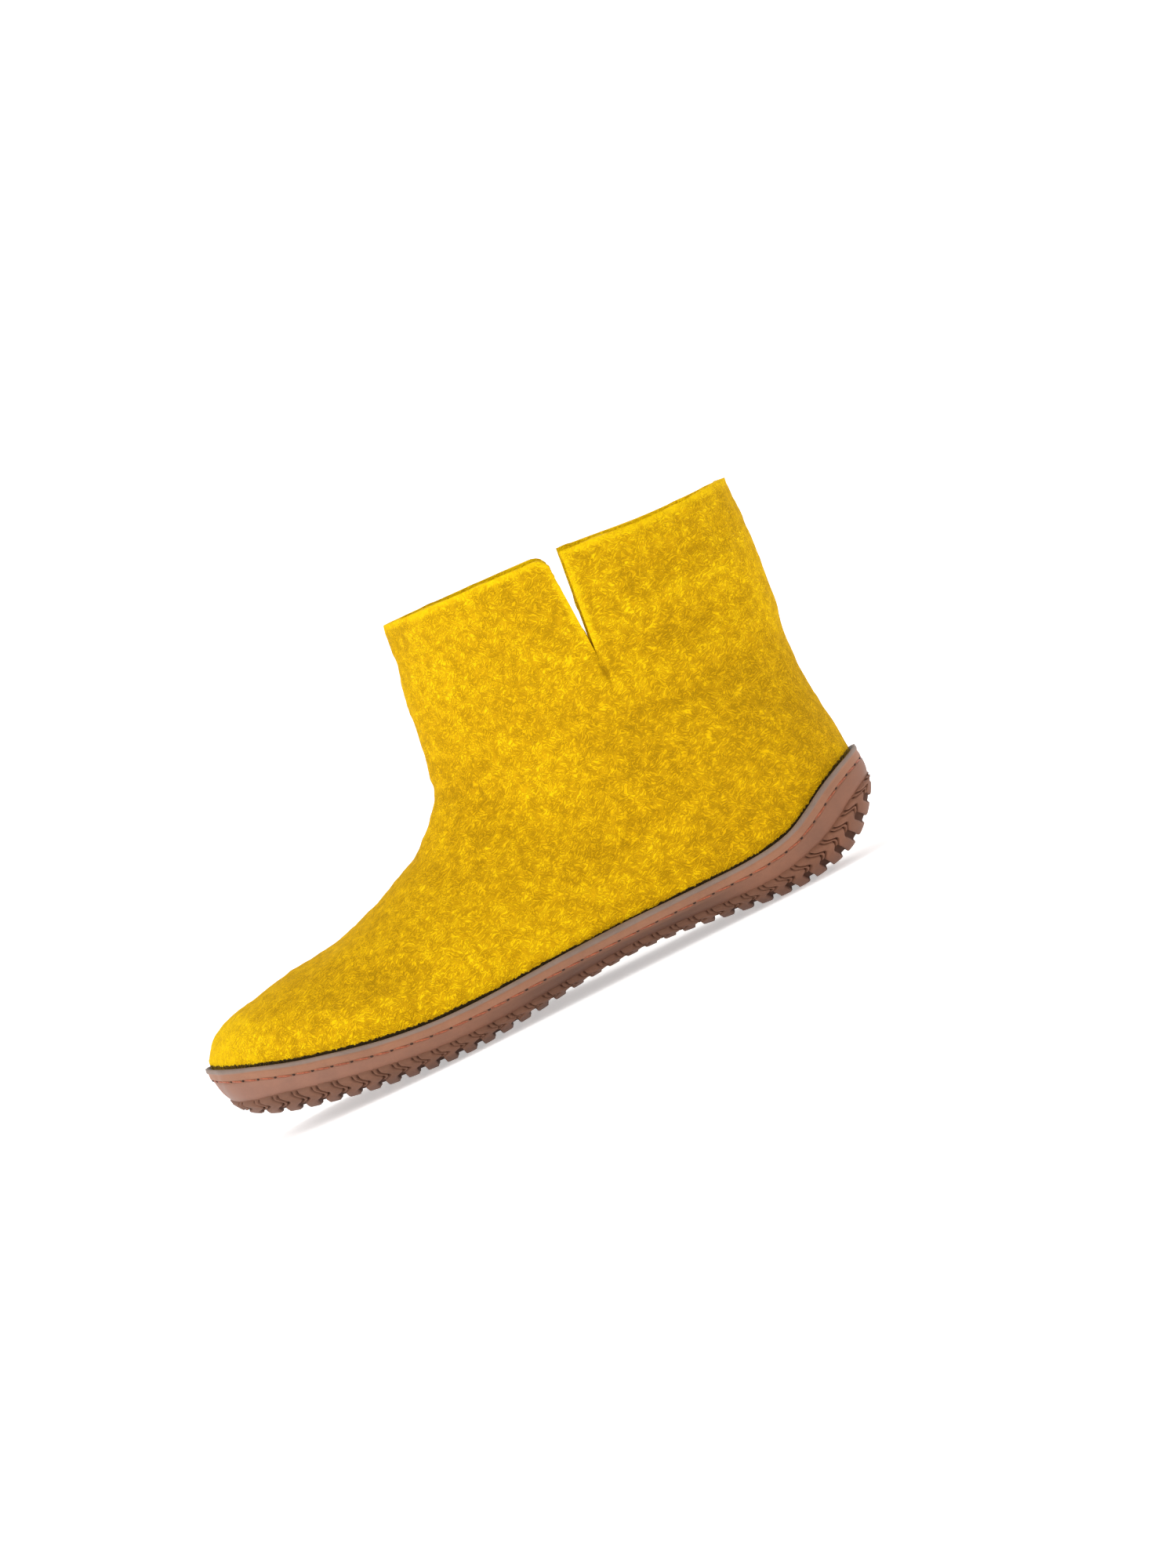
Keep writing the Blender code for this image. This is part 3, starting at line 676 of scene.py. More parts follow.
def creases(position):
    """How far the creases push the skin inward at each point."""
    depth = np.zeros(len(position))
    from_toe, height = LENGTH / 2 - position[:, 0], position[:, 2]
    for x, z, turn, length, width, deep, side in CREASES:
        along_x, along_z = math.cos(math.radians(turn)), math.sin(math.radians(turn))
        dx, dz = from_toe - x / 100 * LENGTH, height - z / 100 * LENGTH
        along = (dx * along_x + dz * along_z) / (length / 100 * LENGTH)
        across = (dz * along_x - dx * along_z) / (width / 100 * LENGTH)
        on_side = smooth(position[:, 1] * side, *CREASE_FADE) if side else 1
        depth += deep * MM * np.exp(-along * along - across * across) * on_side
    return depth


def fold_line(position):
    """Where painted shade marks the crease that carries on below the slit: 1 along it, 0 away from it."""
    height = position[:, 2]
    along = smooth(height, FOLD_FOOT, FOLD_FOOT + FOLD_FADE)
    along *= 1 - smooth(height, SLIT_TIP, SLIT_TIP + FOLD_FADE)
    across = (LENGTH / 2 - position[:, 0] - SLIT_FOOT_X) / FOLD_WIDTH
    return along * np.exp(-across * across)


def lumps(position):
    """Slow noise of a hand-felted surface, about -1 to 1 times each lump's height."""
    return np.array([
        sum(height * noise.noise(Vector(point) / size) for size, height in LUMPS) for point in position
    ])


def felt_places(front):
    """The places of one half shell's points."""
    places = np.linspace(0, COLLAR, PLACE_SAMPLES)
    low, top = skin(places, BOTTOM), skin(places, -BOTTOM)
    steps = [np.linalg.norm(np.diff(line, axis=0), axis=-1) for line in (low, top)]
    run = np.concatenate([[0], np.cumsum(sum(steps))])
    wanted = np.linspace(0, run[-1], FELT_ROWS - TIP_ROWS)
    row_places = np.interp(wanted, run, places)
    edge = slit_angle(row_places, SLIT_FRONT_X if front else SLIT_BACK_X)

    def positions(row, column):
        tip = np.minimum(row - TIP_ROWS, 0) / TIP_ROWS
        place = row_places[np.maximum(row - TIP_ROWS, 0)]
        first = edge[np.maximum(row - TIP_ROWS, 0)]
        share = column / (HALF_COLUMNS - 1)
        share = share - COLUMN_CROWDING * np.sin(2 * math.pi * share) / (2 * math.pi)
        if front:
            angle = first + (math.pi - 2 * first) * share
        else:
            angle = first - (math.pi + 2 * first) * share
        point = skin(place, angle)
        out = outward(place, angle)
        middle = (skin(np.zeros(1), BOTTOM) + skin(np.zeros(1), -BOTTOM)) / 2
        point = middle + (point - middle) * np.cos(tip * math.pi / 2)[:, None]
        point[:, 0] += TIP_BULGE * np.sin(-tip * math.pi / 2)
        above = point[:, 2] - rim_level(point[:, 0])
        relief = (lumps(point) - creases(point)) * smooth(above, LUMPS_START, LUMPS_FULL)
        point += out * relief[:, None]
        return finish_collar(point, front)

    return positions


def finish_collar(point, front):
    """Lowers the collar where it dips, and rounds the front corner of the slit."""
    from_toe = LENGTH / 2 - point[:, 0]
    top = smooth(point[:, 2], SLIT_TOP - COLLAR_FADE, SLIT_TOP)
    dip = COLLAR_DIP * np.exp(-(((from_toe - DIP_MIDDLE) / DIP_REACH) ** 2))
    if front:
        near = np.clip(LIP_RADIUS - (SLIT_FRONT_X - from_toe), 0, LIP_RADIUS)
        dip = dip + LIP_RADIUS - np.sqrt(LIP_RADIUS**2 - near**2 * LIP_FLATTENING)
    point[:, 2] -= dip * top
    return point


print(len(CREASES), "creases and", len(LUMPS), "sizes of lumps")


# %% Lay the felt and give it its wall
def felt_piece():
    """The two half shells made one skin, with its wall, its rounded edges and what its colour reads."""
    whole = bmesh.new()
    for front in (True, False):
        half, _, _ = laid_grid(FELT_ROWS, HALF_COLUMNS, felt_places(front))
        mesh = bpy.data.meshes.new("half_shell")
        half.to_mesh(mesh)
        half.free()
        whole.from_mesh(mesh)
        bpy.data.meshes.remove(mesh)
    merge(whole)
    bmesh.ops.recalc_face_normals(whole, faces=whole.faces)
    bmesh.ops.solidify(whole, geom=whole.faces[:], thickness=FELT_WALL)
    cut = [edge for edge in corners(whole) if min(vertex.co.z for vertex in edge.verts) > SLIT_LEVEL]
    cut_points = {vertex.index: vertex.co.copy() for edge in cut for vertex in edge.verts}
    cut_line = kdtree.KDTree(len(cut_points))
    for index, point in cut_points.items():
        cut_line.insert(point, index)
    cut_line.balance()
    bmesh.ops.bevel(whole, geom=cut, offset=EDGE_ROUNDING, segments=3, clamp_overlap=True, **ROUNDING)
    position = np.array([vertex.co for vertex in whole.verts])
    height = position[:, 2]
    from_cut = np.array([cut_line.find(vertex.co)[2] for vertex in whole.verts])
    # The cut edges get a painted highlight, and the creases and the fold below the slit get painted shade.
    cut_edge_highlight = 1 - smooth(from_cut, EDGE_LIGHT_NEAR, EDGE_LIGHT_FAR)
    paint(whole, "above_rim", (height - rim_level(position[:, 0])) / MM)
    paint(whole, "edge", cut_edge_highlight * smooth(height, SLIT_TIP, SLIT_OPEN))
    paint(whole, "hollow", creases(position) / MM + FOLD_SHADE * fold_line(position))
    made = finished("felt_boot", whole, FELT)
    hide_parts("felt_upper")


felt_piece()

# %% [markdown]
# ## The insole
# A loose insole of grey felt lies in the boot. It follows the same last, one felt wall further in, so a grid
# on the underside of the last with a thickness is all it needs. Its edge is rounded as a die-cut edge is.

# %% Insole
DARK_GREY = paint_colour(110, 106, 98)
GREY = paint_colour(140, 135, 126)
LIGHT_GREY = paint_colour(168, 164, 154)
INSOLE_START, INSOLE_END, INSOLE_TURN = 2.6, 15.6, math.radians(48)
INSOLE_ROWS, INSOLE_COLUMNS = 120, 34
INSOLE_ROUNDING = 0.8 * MM


def insole_finish():
    """Grey felt, with the same fibres as the boot's."""
    liner = Finish("grey_felt_liner", Roughness=0.97, Sheen_Weight=0.25)
    tangle, _ = wool(liner)
    strand = liner.step(tangle, 0.4, 0.62)
    liner.colour(liner.ramp(strand, (0, DARK_GREY), (0.6, GREY), (1, LIGHT_GREY)))
    liner.bump(strand, INSOLE_NAP, 0.5)
    return liner.material


def insole_places(row, column):
    """Points on the felt underfoot, from side to side at each place."""
    place = INSOLE_START + (INSOLE_END - INSOLE_START) * row / (INSOLE_ROWS - 1)
    turn = (2 * column / (INSOLE_COLUMNS - 1) - 1) * INSOLE_TURN
    return offset(place, BOTTOM + turn, np.full(len(row), -FELT_WALL - 2 * FIT))


def insole_piece():
    """The grid faces down before it gets its thickness, which is added on the upper side."""
    shape, _, _ = laid_grid(INSOLE_ROWS, INSOLE_COLUMNS, insole_places)
    bmesh.ops.recalc_face_normals(shape, faces=shape.faces)
    if sum(face.normal.z for face in shape.faces) > 0:
        bmesh.ops.reverse_faces(shape, faces=shape.faces)
    bmesh.ops.solidify(shape, geom=shape.faces[:], thickness=INSOLE_THICKNESS - 2 * FIT)
    rounded = {"offset": INSOLE_ROUNDING, "segments": 2, "clamp_overlap": True, **ROUNDING}
    bmesh.ops.bevel(shape, geom=corners(shape), **rounded)
    made = finished("insole_pad", shape, insole_finish())
    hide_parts("insole")


insole_piece()

# %% [markdown]
# ## The cup of the sole
# The cup is moulded rubber. From the rim down its side has a rounded lip, a paler band, a sunk line for the
# stitches, a plain wall and a thin crease above the lugs. That profile runs round the whole boot at the same
# distance below the rim. So each line of the profile is found on the last first, from the toe round the heel,
# and the profile is laid across those lines. Between lip and felt the rim is open, and painted shade darkens
# the gap: that is the dark line that one sees round the boot.

# %% Profile of the cup's side
SIDE_STATIONS, TOE_STATIONS = 230, 9
LINE_SAMPLES = 420
TOE_BULGE, TOE_WIDTH = 0.8 * MM, 8 * MM
# Each point: drop below the rim in millimetres, and how far out it lies from the felt.
CHANNEL_PROFILE = [
    (5.5, 0.3), (2.4, 0.3), (1.5, 0.45), (0.9, 0.9), (0.4, 1.25), (0.1, 1.7), (0.0, 2.2), (0.05, 2.7),
]
# A point closer to the felt than the reach lies in the gap, and its colour reads this mark, not its drop: it
# takes the gap's painted shade.
CHANNEL_REACH, CHANNEL_SHADE_MARK = 1.6, -2.0
# The same from the cup's plain side, over the lip, the band and the sunk line for the stitches.
BAND_PROFILE = [
    (0.3, -0.15), (0.7, 0.1), (1.2, 0.18), (1.6, 0.08), (1.85, -0.14), (2.1, -0.26), (2.6, -0.2),
    (3.4, -0.08), (4.0, 0.0), (4.35, -0.06), (4.6, -0.3), (4.85, -0.58), (5.15, -0.6), (5.4, -0.36),
    (5.65, -0.08), (6.0, 0.02), (6.6, 0.08),
]
SIDE_TOP = BAND_PROFILE[-1][0]
# Lower down: share of the way from there to the tread's upper edge, and how far out from the cup.
WALL_PROFILE = [
    (0.25, 0.2), (0.5, 0.28), (0.7, 0.25), (0.84, 0.16), (0.9, 0.02), (0.94, -0.12), (0.98, -0.05),
    (1.04, 0.0), (1.3, 0.0),
]
WALL_MARK = 8  # what a whole share adds to the drop that the colour reads


def level_at(drop, share):
    """The height of a line of the profile at each x."""

    def level(x):
        rim, tread = rim_level(x), tread_level(x)
        slope = (rim_level(x + MM) - rim_level(x - MM)) / (2 * MM)
        below = rim - drop * MM * np.sqrt(1 + slope * slope)
        return below + (tread - below) * share

    return level


def around(level, out, from_felt=False):
    """A closed line round the boot, at a level of the cup's side, and that far out from cup or felt."""
    sides = []
    start, end = ends(level, cup_depth)
    for sign in (1, -1):
        place = start + (end - start) * (1 - np.cos(np.linspace(0, math.pi, LINE_SAMPLES))) / 2
        turn = turn_to(level, place, sign, cup_depth)
        turn[-1] = 0
        angle = BOTTOM + sign * turn
        run = run_along(offset(place, angle, cup_depth(place, angle)))
        stations = np.linspace(0, run[-1], SIDE_STATIONS)
        place, turn = np.interp(stations, run, place), np.interp(stations, run, turn)
        angle = BOTTOM + sign * turn
        distance = out * MM + (0 if from_felt else cup_depth(place, angle))
        sides.append(offset(place, angle, distance))
    outer, inner = sides
    share = np.linspace(0, 1, TOE_STATIONS)[1:, None]
    toe = inner[:1] + (outer[:1] - inner[:1]) * share
    wide = min(np.linalg.norm(outer[0] - inner[0]) / TOE_WIDTH, 1)
    toe[:, 0] += wide * TOE_BULGE * (1 - (2 * share[:, 0] - 1) ** 2)
    return np.concatenate([outer, inner[-2::-1], toe])


# %% Rubber material
LIP = paint_colour(126, 106, 94)
BAND = paint_colour(144, 99, 74)
WALL = paint_colour(127, 85, 65)
WALL_TOE = paint_colour(140, 98, 80)
WALL_ARCH = paint_colour(92, 62, 48)
LUG = paint_colour(108, 74, 57)
# Painted shade, for the gap between lip and felt and for the tread's grooves.
GROOVE_SHADE = paint_colour(66, 38, 26)
CLOUD_SIZE, SPECK_SIZE = 14 * MM, 1.1 * MM
RUBBER_GRAIN = 0.12 * MM
# Stretches over which the side gets paler toward the toe, and the arch begins and ends.
TOE_PALE = (20 * MM, 130 * MM)
ARCH_START, ARCH_END = (-90 * MM, -50 * MM), (0, 50 * MM)
ARCH_SHARE, TOE_SHARE = 0.9, 0.8
# Drops below the rim, in millimetres, over which lip, band and the painted shade of the gap to the felt give
# way.
LIP_TO_BAND, BAND_TO_WALL, GAP_SHADE_TO_LIP = (1.2, 1.9), (4.2, 6.4), (-1.2, -0.2)
WORN_BY = 0.9


def rubber_finish(name, **constants):
    """Moulded rubber: its grain and the colour of its wall, to which each piece adds its own bands."""
    rubber = Finish(name, **constants)
    where = rubber.position()
    cloud = rubber.noise(where, CLOUD_SIZE, detail=4.0, roughness=0.6)
    speck = rubber.noise(where, SPECK_SIZE, detail=3.0, roughness=0.7)
    rubber.bump(speck + cloud * 0.5, RUBBER_GRAIN, 0.5)
    x = rubber.along("X")
    arch = rubber.step(x, *ARCH_START) * (1 - rubber.step(x, *ARCH_END))
    wall = rubber.mix(rubber.step(x, *TOE_PALE) * TOE_SHARE, WALL, WALL_TOE)
    return rubber, rubber.mix(arch * ARCH_SHARE, wall, WALL_ARCH), cloud, speck


def mottled(rubber, colour, cloud, speck):
    """The colour made a little lighter and darker by the rubber's clouds and specks."""
    tone = rubber.step(cloud, 0.25, 0.75) * 0.22 + speck * 0.2 + 0.80
    grey = rubber.node("CombineColor", {}, {0: tone, 1: tone, 2: tone})
    return rubber.mix(1.0, colour, grey, "MULTIPLY")


def cup_finish():
    """The side of the cup, satin: a greyer lip, a paler band and the wall, with painted shade in the gap to the
    felt.
    """
    satin = {"Coat_Weight": 0.06, "Coat_Roughness": 0.4, "Specular_IOR_Level": 0.35}
    rubber, wall, cloud, speck = rubber_finish("brown_rubber_side", **satin)
    drop = rubber.painted("drop")
    worn = drop + (cloud - 0.5) * WORN_BY
    colour = rubber.mix(rubber.step(worn, *LIP_TO_BAND), LIP, BAND)
    colour = rubber.mix(rubber.step(worn, *BAND_TO_WALL), colour, wall)
    # Painted shade in the gap between lip and felt.
    colour = rubber.mix(1 - rubber.step(drop, *GAP_SHADE_TO_LIP), colour, GROOVE_SHADE)
    rubber.colour(mottled(rubber, colour, cloud, speck))
    rubber.roughness(rubber.step(cloud, 0.3, 0.7) * 0.14 + speck * 0.12 + 0.46)
    return rubber.material


# %% Lay the cup
def cup_lines():
    """Each line of the profile: drop, share of the way to the tread, how far out, whether from the felt."""
    foot_share, foot_out = WALL_PROFILE[-1][0], CHANNEL_PROFILE[0][1]
    foot = [(0, foot_share, foot_out, True)]
    channel = [(drop, 0, out, True) for drop, out in CHANNEL_PROFILE]
    band = [(drop, 0, out, False) for drop, out in BAND_PROFILE]
    wall = [(SIDE_TOP, share, out, False) for share, out in WALL_PROFILE]
    return foot + channel + band + wall


def cup_piece():
    """The profile's lines laid round the boot, each with the mark that its colour reads."""
    lines, drops = [], []
    for drop, share, out, from_felt in cup_lines():
        lines.append(around(level_at(drop, share), out, from_felt))
        inside = from_felt and out < CHANNEL_REACH
        drops.append(CHANNEL_SHADE_MARK if inside else drop + WALL_MARK * share)
    lines.append(lines[0])
    drops.append(drops[0])
    grid, marks = np.array(lines), np.array(drops)
    stations = grid.shape[1]

    def places(row, column):
        return grid[row, column % stations]

    shape, row, _ = laid_grid(len(grid), stations + 1, places)
    paint(shape, "drop", marks[row])
    close(shape)
    made = finished("rubber_cup", shape, cup_finish(), sharp=55)
    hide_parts("rubber_sole")


cup_piece()

# %% [markdown]
# ## The tread
# Thirty-odd lugs wrap from the underside up onto the side of the cup. On the side, two narrow grooves with
# a thin rib between them part each lug from the next, and they are bent, with their point toward the heel.
# Under the foot they run nearly straight across and the rib is cut down, so that one broad notch shows in
# the outline. The rows of the grid follow the bend, so a row is either on a lug, in a groove or on a rib,
# and the edges stay crisp. Lugs end at z = 0, where the boot stands on the floor.

# %% Rows and columns of the tread
LUG_PITCH = 7.9 * MM
TREAD_START = 2 * MM
SIDE_GROOVE = 1.15 * MM
GROOVE_SHARE = 0.8
LEAST_TURN, TURN_SAMPLES = math.radians(6), 60
SIDE_SHARE, LEAST_SIDE, MOST_SIDE = 0.8, 5.4 * MM, 9.5 * MM
# Along one pitch: share of the pitch, and how deep the groove is there, from 0 on a lug to 1.
PITCH_PROFILE = [
    (0.0, 0.15), (0.03, 0.03), (0.12, 0.0), (0.28, 0.0), (0.44, 0.0), (0.53, 0.03), (0.56, 0.15), (0.60, 0.9),
    (0.655, 1.0), (0.70, 0.7), (0.725, 0.1), (0.82, 0.1), (0.845, 0.7), (0.89, 1.0), (0.96, 0.9),
]
# How deep the tread is cut at its very ends and before the first lug, and the room kept at the heel.
TOE_DEPTH, FIRST_DEPTH, HEEL_DEPTH = 0.6, 0.3, 0.5
FIRST_EDGE, HEEL_ROOM = 0.05, 0.6 * MM
# The rib between two grooves, as shares of the pitch, and the marks between which it is cut down.
RIB_START, RIB_END = 0.62, 0.92
RIB_FADE_START, RIB_FADE_END = 4.6, 6.2
# Down one side: a mark from 0 at the tread's upper edge to 6.2 at the underside, and how far a groove runs
# to the heel there, in pitches.
BEND = [(0, 0.0), (0.8, 0.05), (1.8, 0.24), (2.6, 0.42), (3.4, 0.50), (4.3, 0.36), (5.2, 0.16), (6.2, 0.06)]
UNDER_BEND = [0.04, -0.04, 0.04, -0.04]
SIDE_COLUMNS = [0, 0.3, 0.6, 1.0, 1.5, 2.0, 2.6, 3.1, 3.6, 4.2, 4.8, 5.4, 6.2]
UNDER_COLUMNS, INNER_COLUMNS = 14, 12
# How far a lug stands proud at each mark, as a share, and how much sooner than that the grooves begin.
SHOULDER = [(0, -0.45), (0.3, 0.35), (0.6, 0.8), (1.0, 1.0)]
GROOVE_LEAD = 0.1


def tread_lines():
    """Places along the sole, the outline's length there, and each side's turns and arcs from edge to middle."""
    places = np.linspace(*ends(tread_level, lug_depth), LINE_SAMPLES)
    across = []
    for sign in (1, -1):
        top = np.maximum(turn_to(tread_level, places, sign, lug_depth), LEAST_TURN)
        turns = top[:, None] * np.linspace(1, 0, TURN_SAMPLES)[None, :]
        points = offset(places[:, None], BOTTOM + sign * turns, np.full(turns.shape, UNDER_RUBBER))
        across.append((turns, np.array([run_along(row) for row in points])))
    return places, run_along(low_point(places)), across


def tread_rows(whole):
    """How far from the toe each row lies, how deep it is cut, and the pitch of the lugs."""
    lugs = int((whole - TREAD_START) / LUG_PITCH)
    pitch = (whole - TREAD_START) / lugs
    rows = [(0.0, TOE_DEPTH)]
    for lug in range(lugs):
        for share, deep in PITCH_PROFILE:
            first = lug == 0 and share < FIRST_EDGE
            rows.append((TREAD_START + (lug + share) * pitch, FIRST_DEPTH if first else deep))
    rows = [row for row in rows if row[0] < whole - HEEL_ROOM] + [(whole, HEEL_DEPTH)]
    print(lugs, "lugs at a pitch of", round(pitch / MM, 2), "mm")
    return *np.array(rows).T, pitch


def bend_at(mark, under):
    """How far a groove runs to the heel at a mark of the side, or at a share of the way across below."""
    marks, shifts = np.array(BEND).T
    if under:
        return np.interp(mark, np.linspace(0, 1, len(UNDER_BEND) + 1), [shifts[-1], *UNDER_BEND])
    return np.interp(mark, marks, shifts)


# %% The surface of the tread
def tread_ring():
    """Columns of points from edge to edge and back inside the cup, each with how deep its rows look."""
    places, lengths, across = tread_lines()
    length, groove, pitch = tread_rows(lengths[-1])
    share_of_pitch = (length - TREAD_START) / pitch % 1
    on_rib = (share_of_pitch > RIB_START) & (share_of_pitch < RIB_END)
    from_end = np.minimum(length - TREAD_START, lengths[-1] - length)
    bent = pitch * np.clip(from_end / pitch, 0, 1)

    def nearest(place):
        return np.clip(np.searchsorted(places, place), 1, len(places) - 1)

    def column(sign, turns, arcs, mark, under):
        shifted = np.clip(length + bend_at(mark, under) * bent, 0, lengths[-1])
        place = np.interp(shifted, lengths, places)
        arc, turn_row = arcs[nearest(place)], turns[nearest(place)]
        high = tread_level(LENGTH / 2 - low_point(place)[:, 0])
        edge = np.minimum(np.clip(high * SIDE_SHARE, LEAST_SIDE, MOST_SIDE), arc[:, -1] / 2)
        wanted = edge + (arc[:, -1] - edge) * mark if under else edge * mark / SIDE_COLUMNS[-1]
        turn = np.array([np.interp(*row) for row in zip(wanted, arc, turn_row)])
        angle = BOTTOM + sign * turn
        base, full = cup_depth(place, angle), lug_depth(place, angle)
        facing = facing_down(place, angle)
        deepest = SIDE_GROOVE + facing * ((full - base) * GROOVE_SHARE - SIDE_GROOVE)
        shoulder = 1 if under else float(np.interp(mark, *np.array(SHOULDER).T))
        cut_down = 1 if under else smooth(mark, RIB_FADE_START, RIB_FADE_END)
        deep = np.where(on_rib, np.maximum(groove, cut_down), groove)
        cut = deep * deepest * np.clip(shoulder + GROOVE_LEAD, 0, 1)
        point = offset(place, angle, base + (full - base) * shoulder - cut)
        point[:, 2] = np.maximum(point[:, 2], 0)
        return point, deep * max(shoulder, 0)

    marks = [(mark, False) for mark in SIDE_COLUMNS]
    marks += [(step / UNDER_COLUMNS, True) for step in range(1, UNDER_COLUMNS + 1)]
    outer, inner = (
        [column(sign, turns, arcs, *mark) for mark in marks] for sign, (turns, arcs) in zip((1, -1), across)
    )
    ring = outer + inner[-2::-1]
    place = np.interp(length, lengths, places)
    first, last = BOTTOM - across[1][0][nearest(place), 0], BOTTOM + across[0][0][nearest(place), 0]
    for share in np.linspace(0, 1, INNER_COLUMNS):
        angle = first + (last - first) * share
        ring.append((offset(place, angle, np.full(len(place), FIT * 2)), np.zeros(len(place))))
    points, deep = zip(*ring, ring[0])
    return np.array(points), np.array(deep)


# %% Lay the tread
HEEL_LUGS = (-120 * MM, -70 * MM)


def lug_finish():
    """Worn tread, duller than the side: darker lugs, less so at the heel, with painted shade in the grooves."""
    rubber, wall, cloud, speck = rubber_finish("brown_rubber_tread", Specular_IOR_Level=0.2)
    heel = 1 - rubber.step(rubber.along("X"), *HEEL_LUGS)
    # Painted shade in the grooves, as deep as the rows are cut.
    shade = rubber.step(rubber.painted("groove"), 0.3, 1.0)
    colour = rubber.mix(0.75 - heel * 0.6, wall, LUG)
    colour = rubber.mix(shade * 0.85, colour, GROOVE_SHADE)
    rubber.colour(mottled(rubber, colour, cloud, speck))
    rubber.roughness(shade * 0.3 + speck * 0.12 + 0.56)
    return rubber.material


def tread_piece():
    """The ring of columns laid as a grid, and closed at toe and heel."""
    ring, deep = tread_ring()
    columns, rows = deep.shape

    def places(row, column):
        return ring[row, column]

    shape, row, column = laid_grid(columns, rows, places)
    # The depth of the cut, painted on the mesh for the painted shade in the grooves.
    paint(shape, "groove", deep[row, column])
    close(shape)
    made = finished("tread_lugs", shape, lug_finish(), sharp=50)
    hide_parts("rubber_sole")


tread_piece()

# %% [markdown]
# ## The stitches
# A waxed thread holds the boot in its cup. It lies in the sunk line, and at each stitch's end it goes through
# a hole. Every stitch is a short ball, stretched along the line and tilted a little, and every hole a flat
# dark one between two stitches, painted shade for the dark inside the hole. They are joined into one mesh
# each, because there are more than seventy.

# %% Stitches and holes
STITCH_PITCH = 8 * MM
STITCH_DROP, DROP_BELOW = 4.98, 0.6
STITCH_SIZE = (6.6 * MM, 0.75 * MM, 0.7 * MM)
HOLE_SIZE = (1.3 * MM, 0.9 * MM, 0.45 * MM)
STITCH_OUT, HOLE_OUT = -0.42, -0.5
STITCH_TILT = math.radians(5)
BALL_SEGMENTS, BALL_RINGS = 10, 8
THREAD_PLY = 0.9 * MM


def along_groove(out):
    """Where each stitch lies on the stitching line, its frame of length, width and depth, and its pitch."""
    line = around(level_at(STITCH_DROP, 0), out)
    below = around(level_at(STITCH_DROP + DROP_BELOW, 0), out)
    run = run_along(line)
    count = int(run[-1] / STITCH_PITCH)
    frames = []
    for stitch in range(count):
        at = (stitch + 0.5) * run[-1] / count
        here, ahead, under = (
            Vector([np.interp(place, run, points[:, axis]) for axis in range(3)])
            for place, points in ((at, line), (at + MM, line), (at, below))
        )
        along = (ahead - here).normalized()
        down = under - here
        down = (down - along * down.dot(along)).normalized()
        outward_axis = along.cross(down)
        frames.append((here, Matrix((along, down, outward_axis)).transposed().to_4x4(), run[-1] / count))
    return frames


def joined_balls(out, size, tilt, shift):
    """A stretched ball for every stitch, shifted by a share of the pitch, all in one mesh."""
    shape = bmesh.new()
    scale = Matrix.Diagonal((*size, 1))
    turn = Matrix.Rotation(tilt, 4, "Z")
    for here, axes, pitch in along_groove(out):
        move = Matrix.Translation(here + axes.col[0].to_3d() * pitch * shift)
        ball = {"u_segments": BALL_SEGMENTS, "v_segments": BALL_RINGS, "radius": 0.5}
        bmesh.ops.create_uvsphere(shape, matrix=move @ axes @ turn @ scale, **ball)
    bmesh.ops.recalc_face_normals(shape, faces=shape.faces)
    return shape


def thread_finish():
    """Rust-coloured thread, its plies a fine noise."""
    thread = Finish("rust_thread", Roughness=0.7, Sheen_Weight=0.1)
    ply = thread.noise(thread.position(), THREAD_PLY, roughness=0.6)
    thread.colour(thread.ramp(ply, (0.3, paint_colour(128, 62, 38)), (0.7, paint_colour(182, 98, 64))))
    thread.bump(ply, 0.2 * MM, 0.6)
    return thread.material


def hole_shade_finish():
    """Painted shade for the dark inside a needle hole."""
    hole_shade = Finish("stitch_hole_shade", Roughness=0.9)
    depth = hole_shade.noise(hole_shade.position(), 2 * MM)
    hole_shade.colour(hole_shade.mix(depth, paint_colour(38, 22, 16), paint_colour(64, 36, 26)))
    return hole_shade.material


def stitching_pieces():
    """Both lie on the cup, and ride on the same body as it."""
    stitches = joined_balls(STITCH_OUT, STITCH_SIZE, STITCH_TILT, 0)
    finished("sole_stitches", stitches, thread_finish())
    # The holes are dark balls of painted shade.
    hole_shades = joined_balls(HOLE_OUT, HOLE_SIZE, 0, 0.5)
    finished("stitch_hole_shades", hole_shades, hole_shade_finish())


stitching_pieces()

# %% [markdown]
# ## Middle of the boot
# The solids have their origin at the middle of the footprint. Every piece above was laid out from the toe, so
# all move together by what centres the sole.

# %% Centre the pieces
def centre_pieces():
    """Moves every mesh by the step from the middle of cup and lugs to the middle of the solid sole."""
    sole =[piece for piece in pieces if piece.name in ("rubber_cup", "tread_lugs")]
    points = np.concatenate([[vertex.co for vertex in piece.data.vertices] for piece in sole])
    low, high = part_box("rubber_sole")
    wanted = (np.array(low) + np.array(high)) / 2
    move = wanted - (points.min(0) + points.max(0)) / 2
    move[2] = 0
    for piece in pieces:
        piece.data.transform(Matrix.Translation(move))
    print("moved by", [round(float(step) / MM, 2) for step in move], "mm")


centre_pieces()

# %% [markdown]
# ## Floor, light and camera
# The boot stands on a pale round floor that curves up into a wall on every side, so each view has the same
# plain ground. A large soft light hangs above the toe, a weak one fills from the camera's side, and a third
# comes from behind and lights the shaft's edge. The camera looks almost level at the outer side from far
# away, and it is rolled, because the boot is shown climbing to the upper right.

# %% Stage
WHITE, PAPER_WHITE = (1, 1, 1, 1), (0.9, 0.9, 0.9, 1)
FLOOR_RADIUS, SWEEP, WALL_TOP = 6.0, 0.8, 3.2
FLOOR_STEPS, SWEEP_STEPS = 64, 12
PAPER_GLOW = 0.46
SKY_STRENGTH = 0.52
BOOT_MIDDLE = Vector((0, 0, 0.07))
# Name, place and size in metres, and power in watts.
LAMPS = [
    ("key", (1.7, 0.7, 1.5), (1.6, 1.4), 25),
    ("fill", (0.3, 2.4, 0.7), (1.6, 1.2), 3),
    ("rim", (-1.2, -1.1, 1.3), (1.4, 0.9), 9),
]


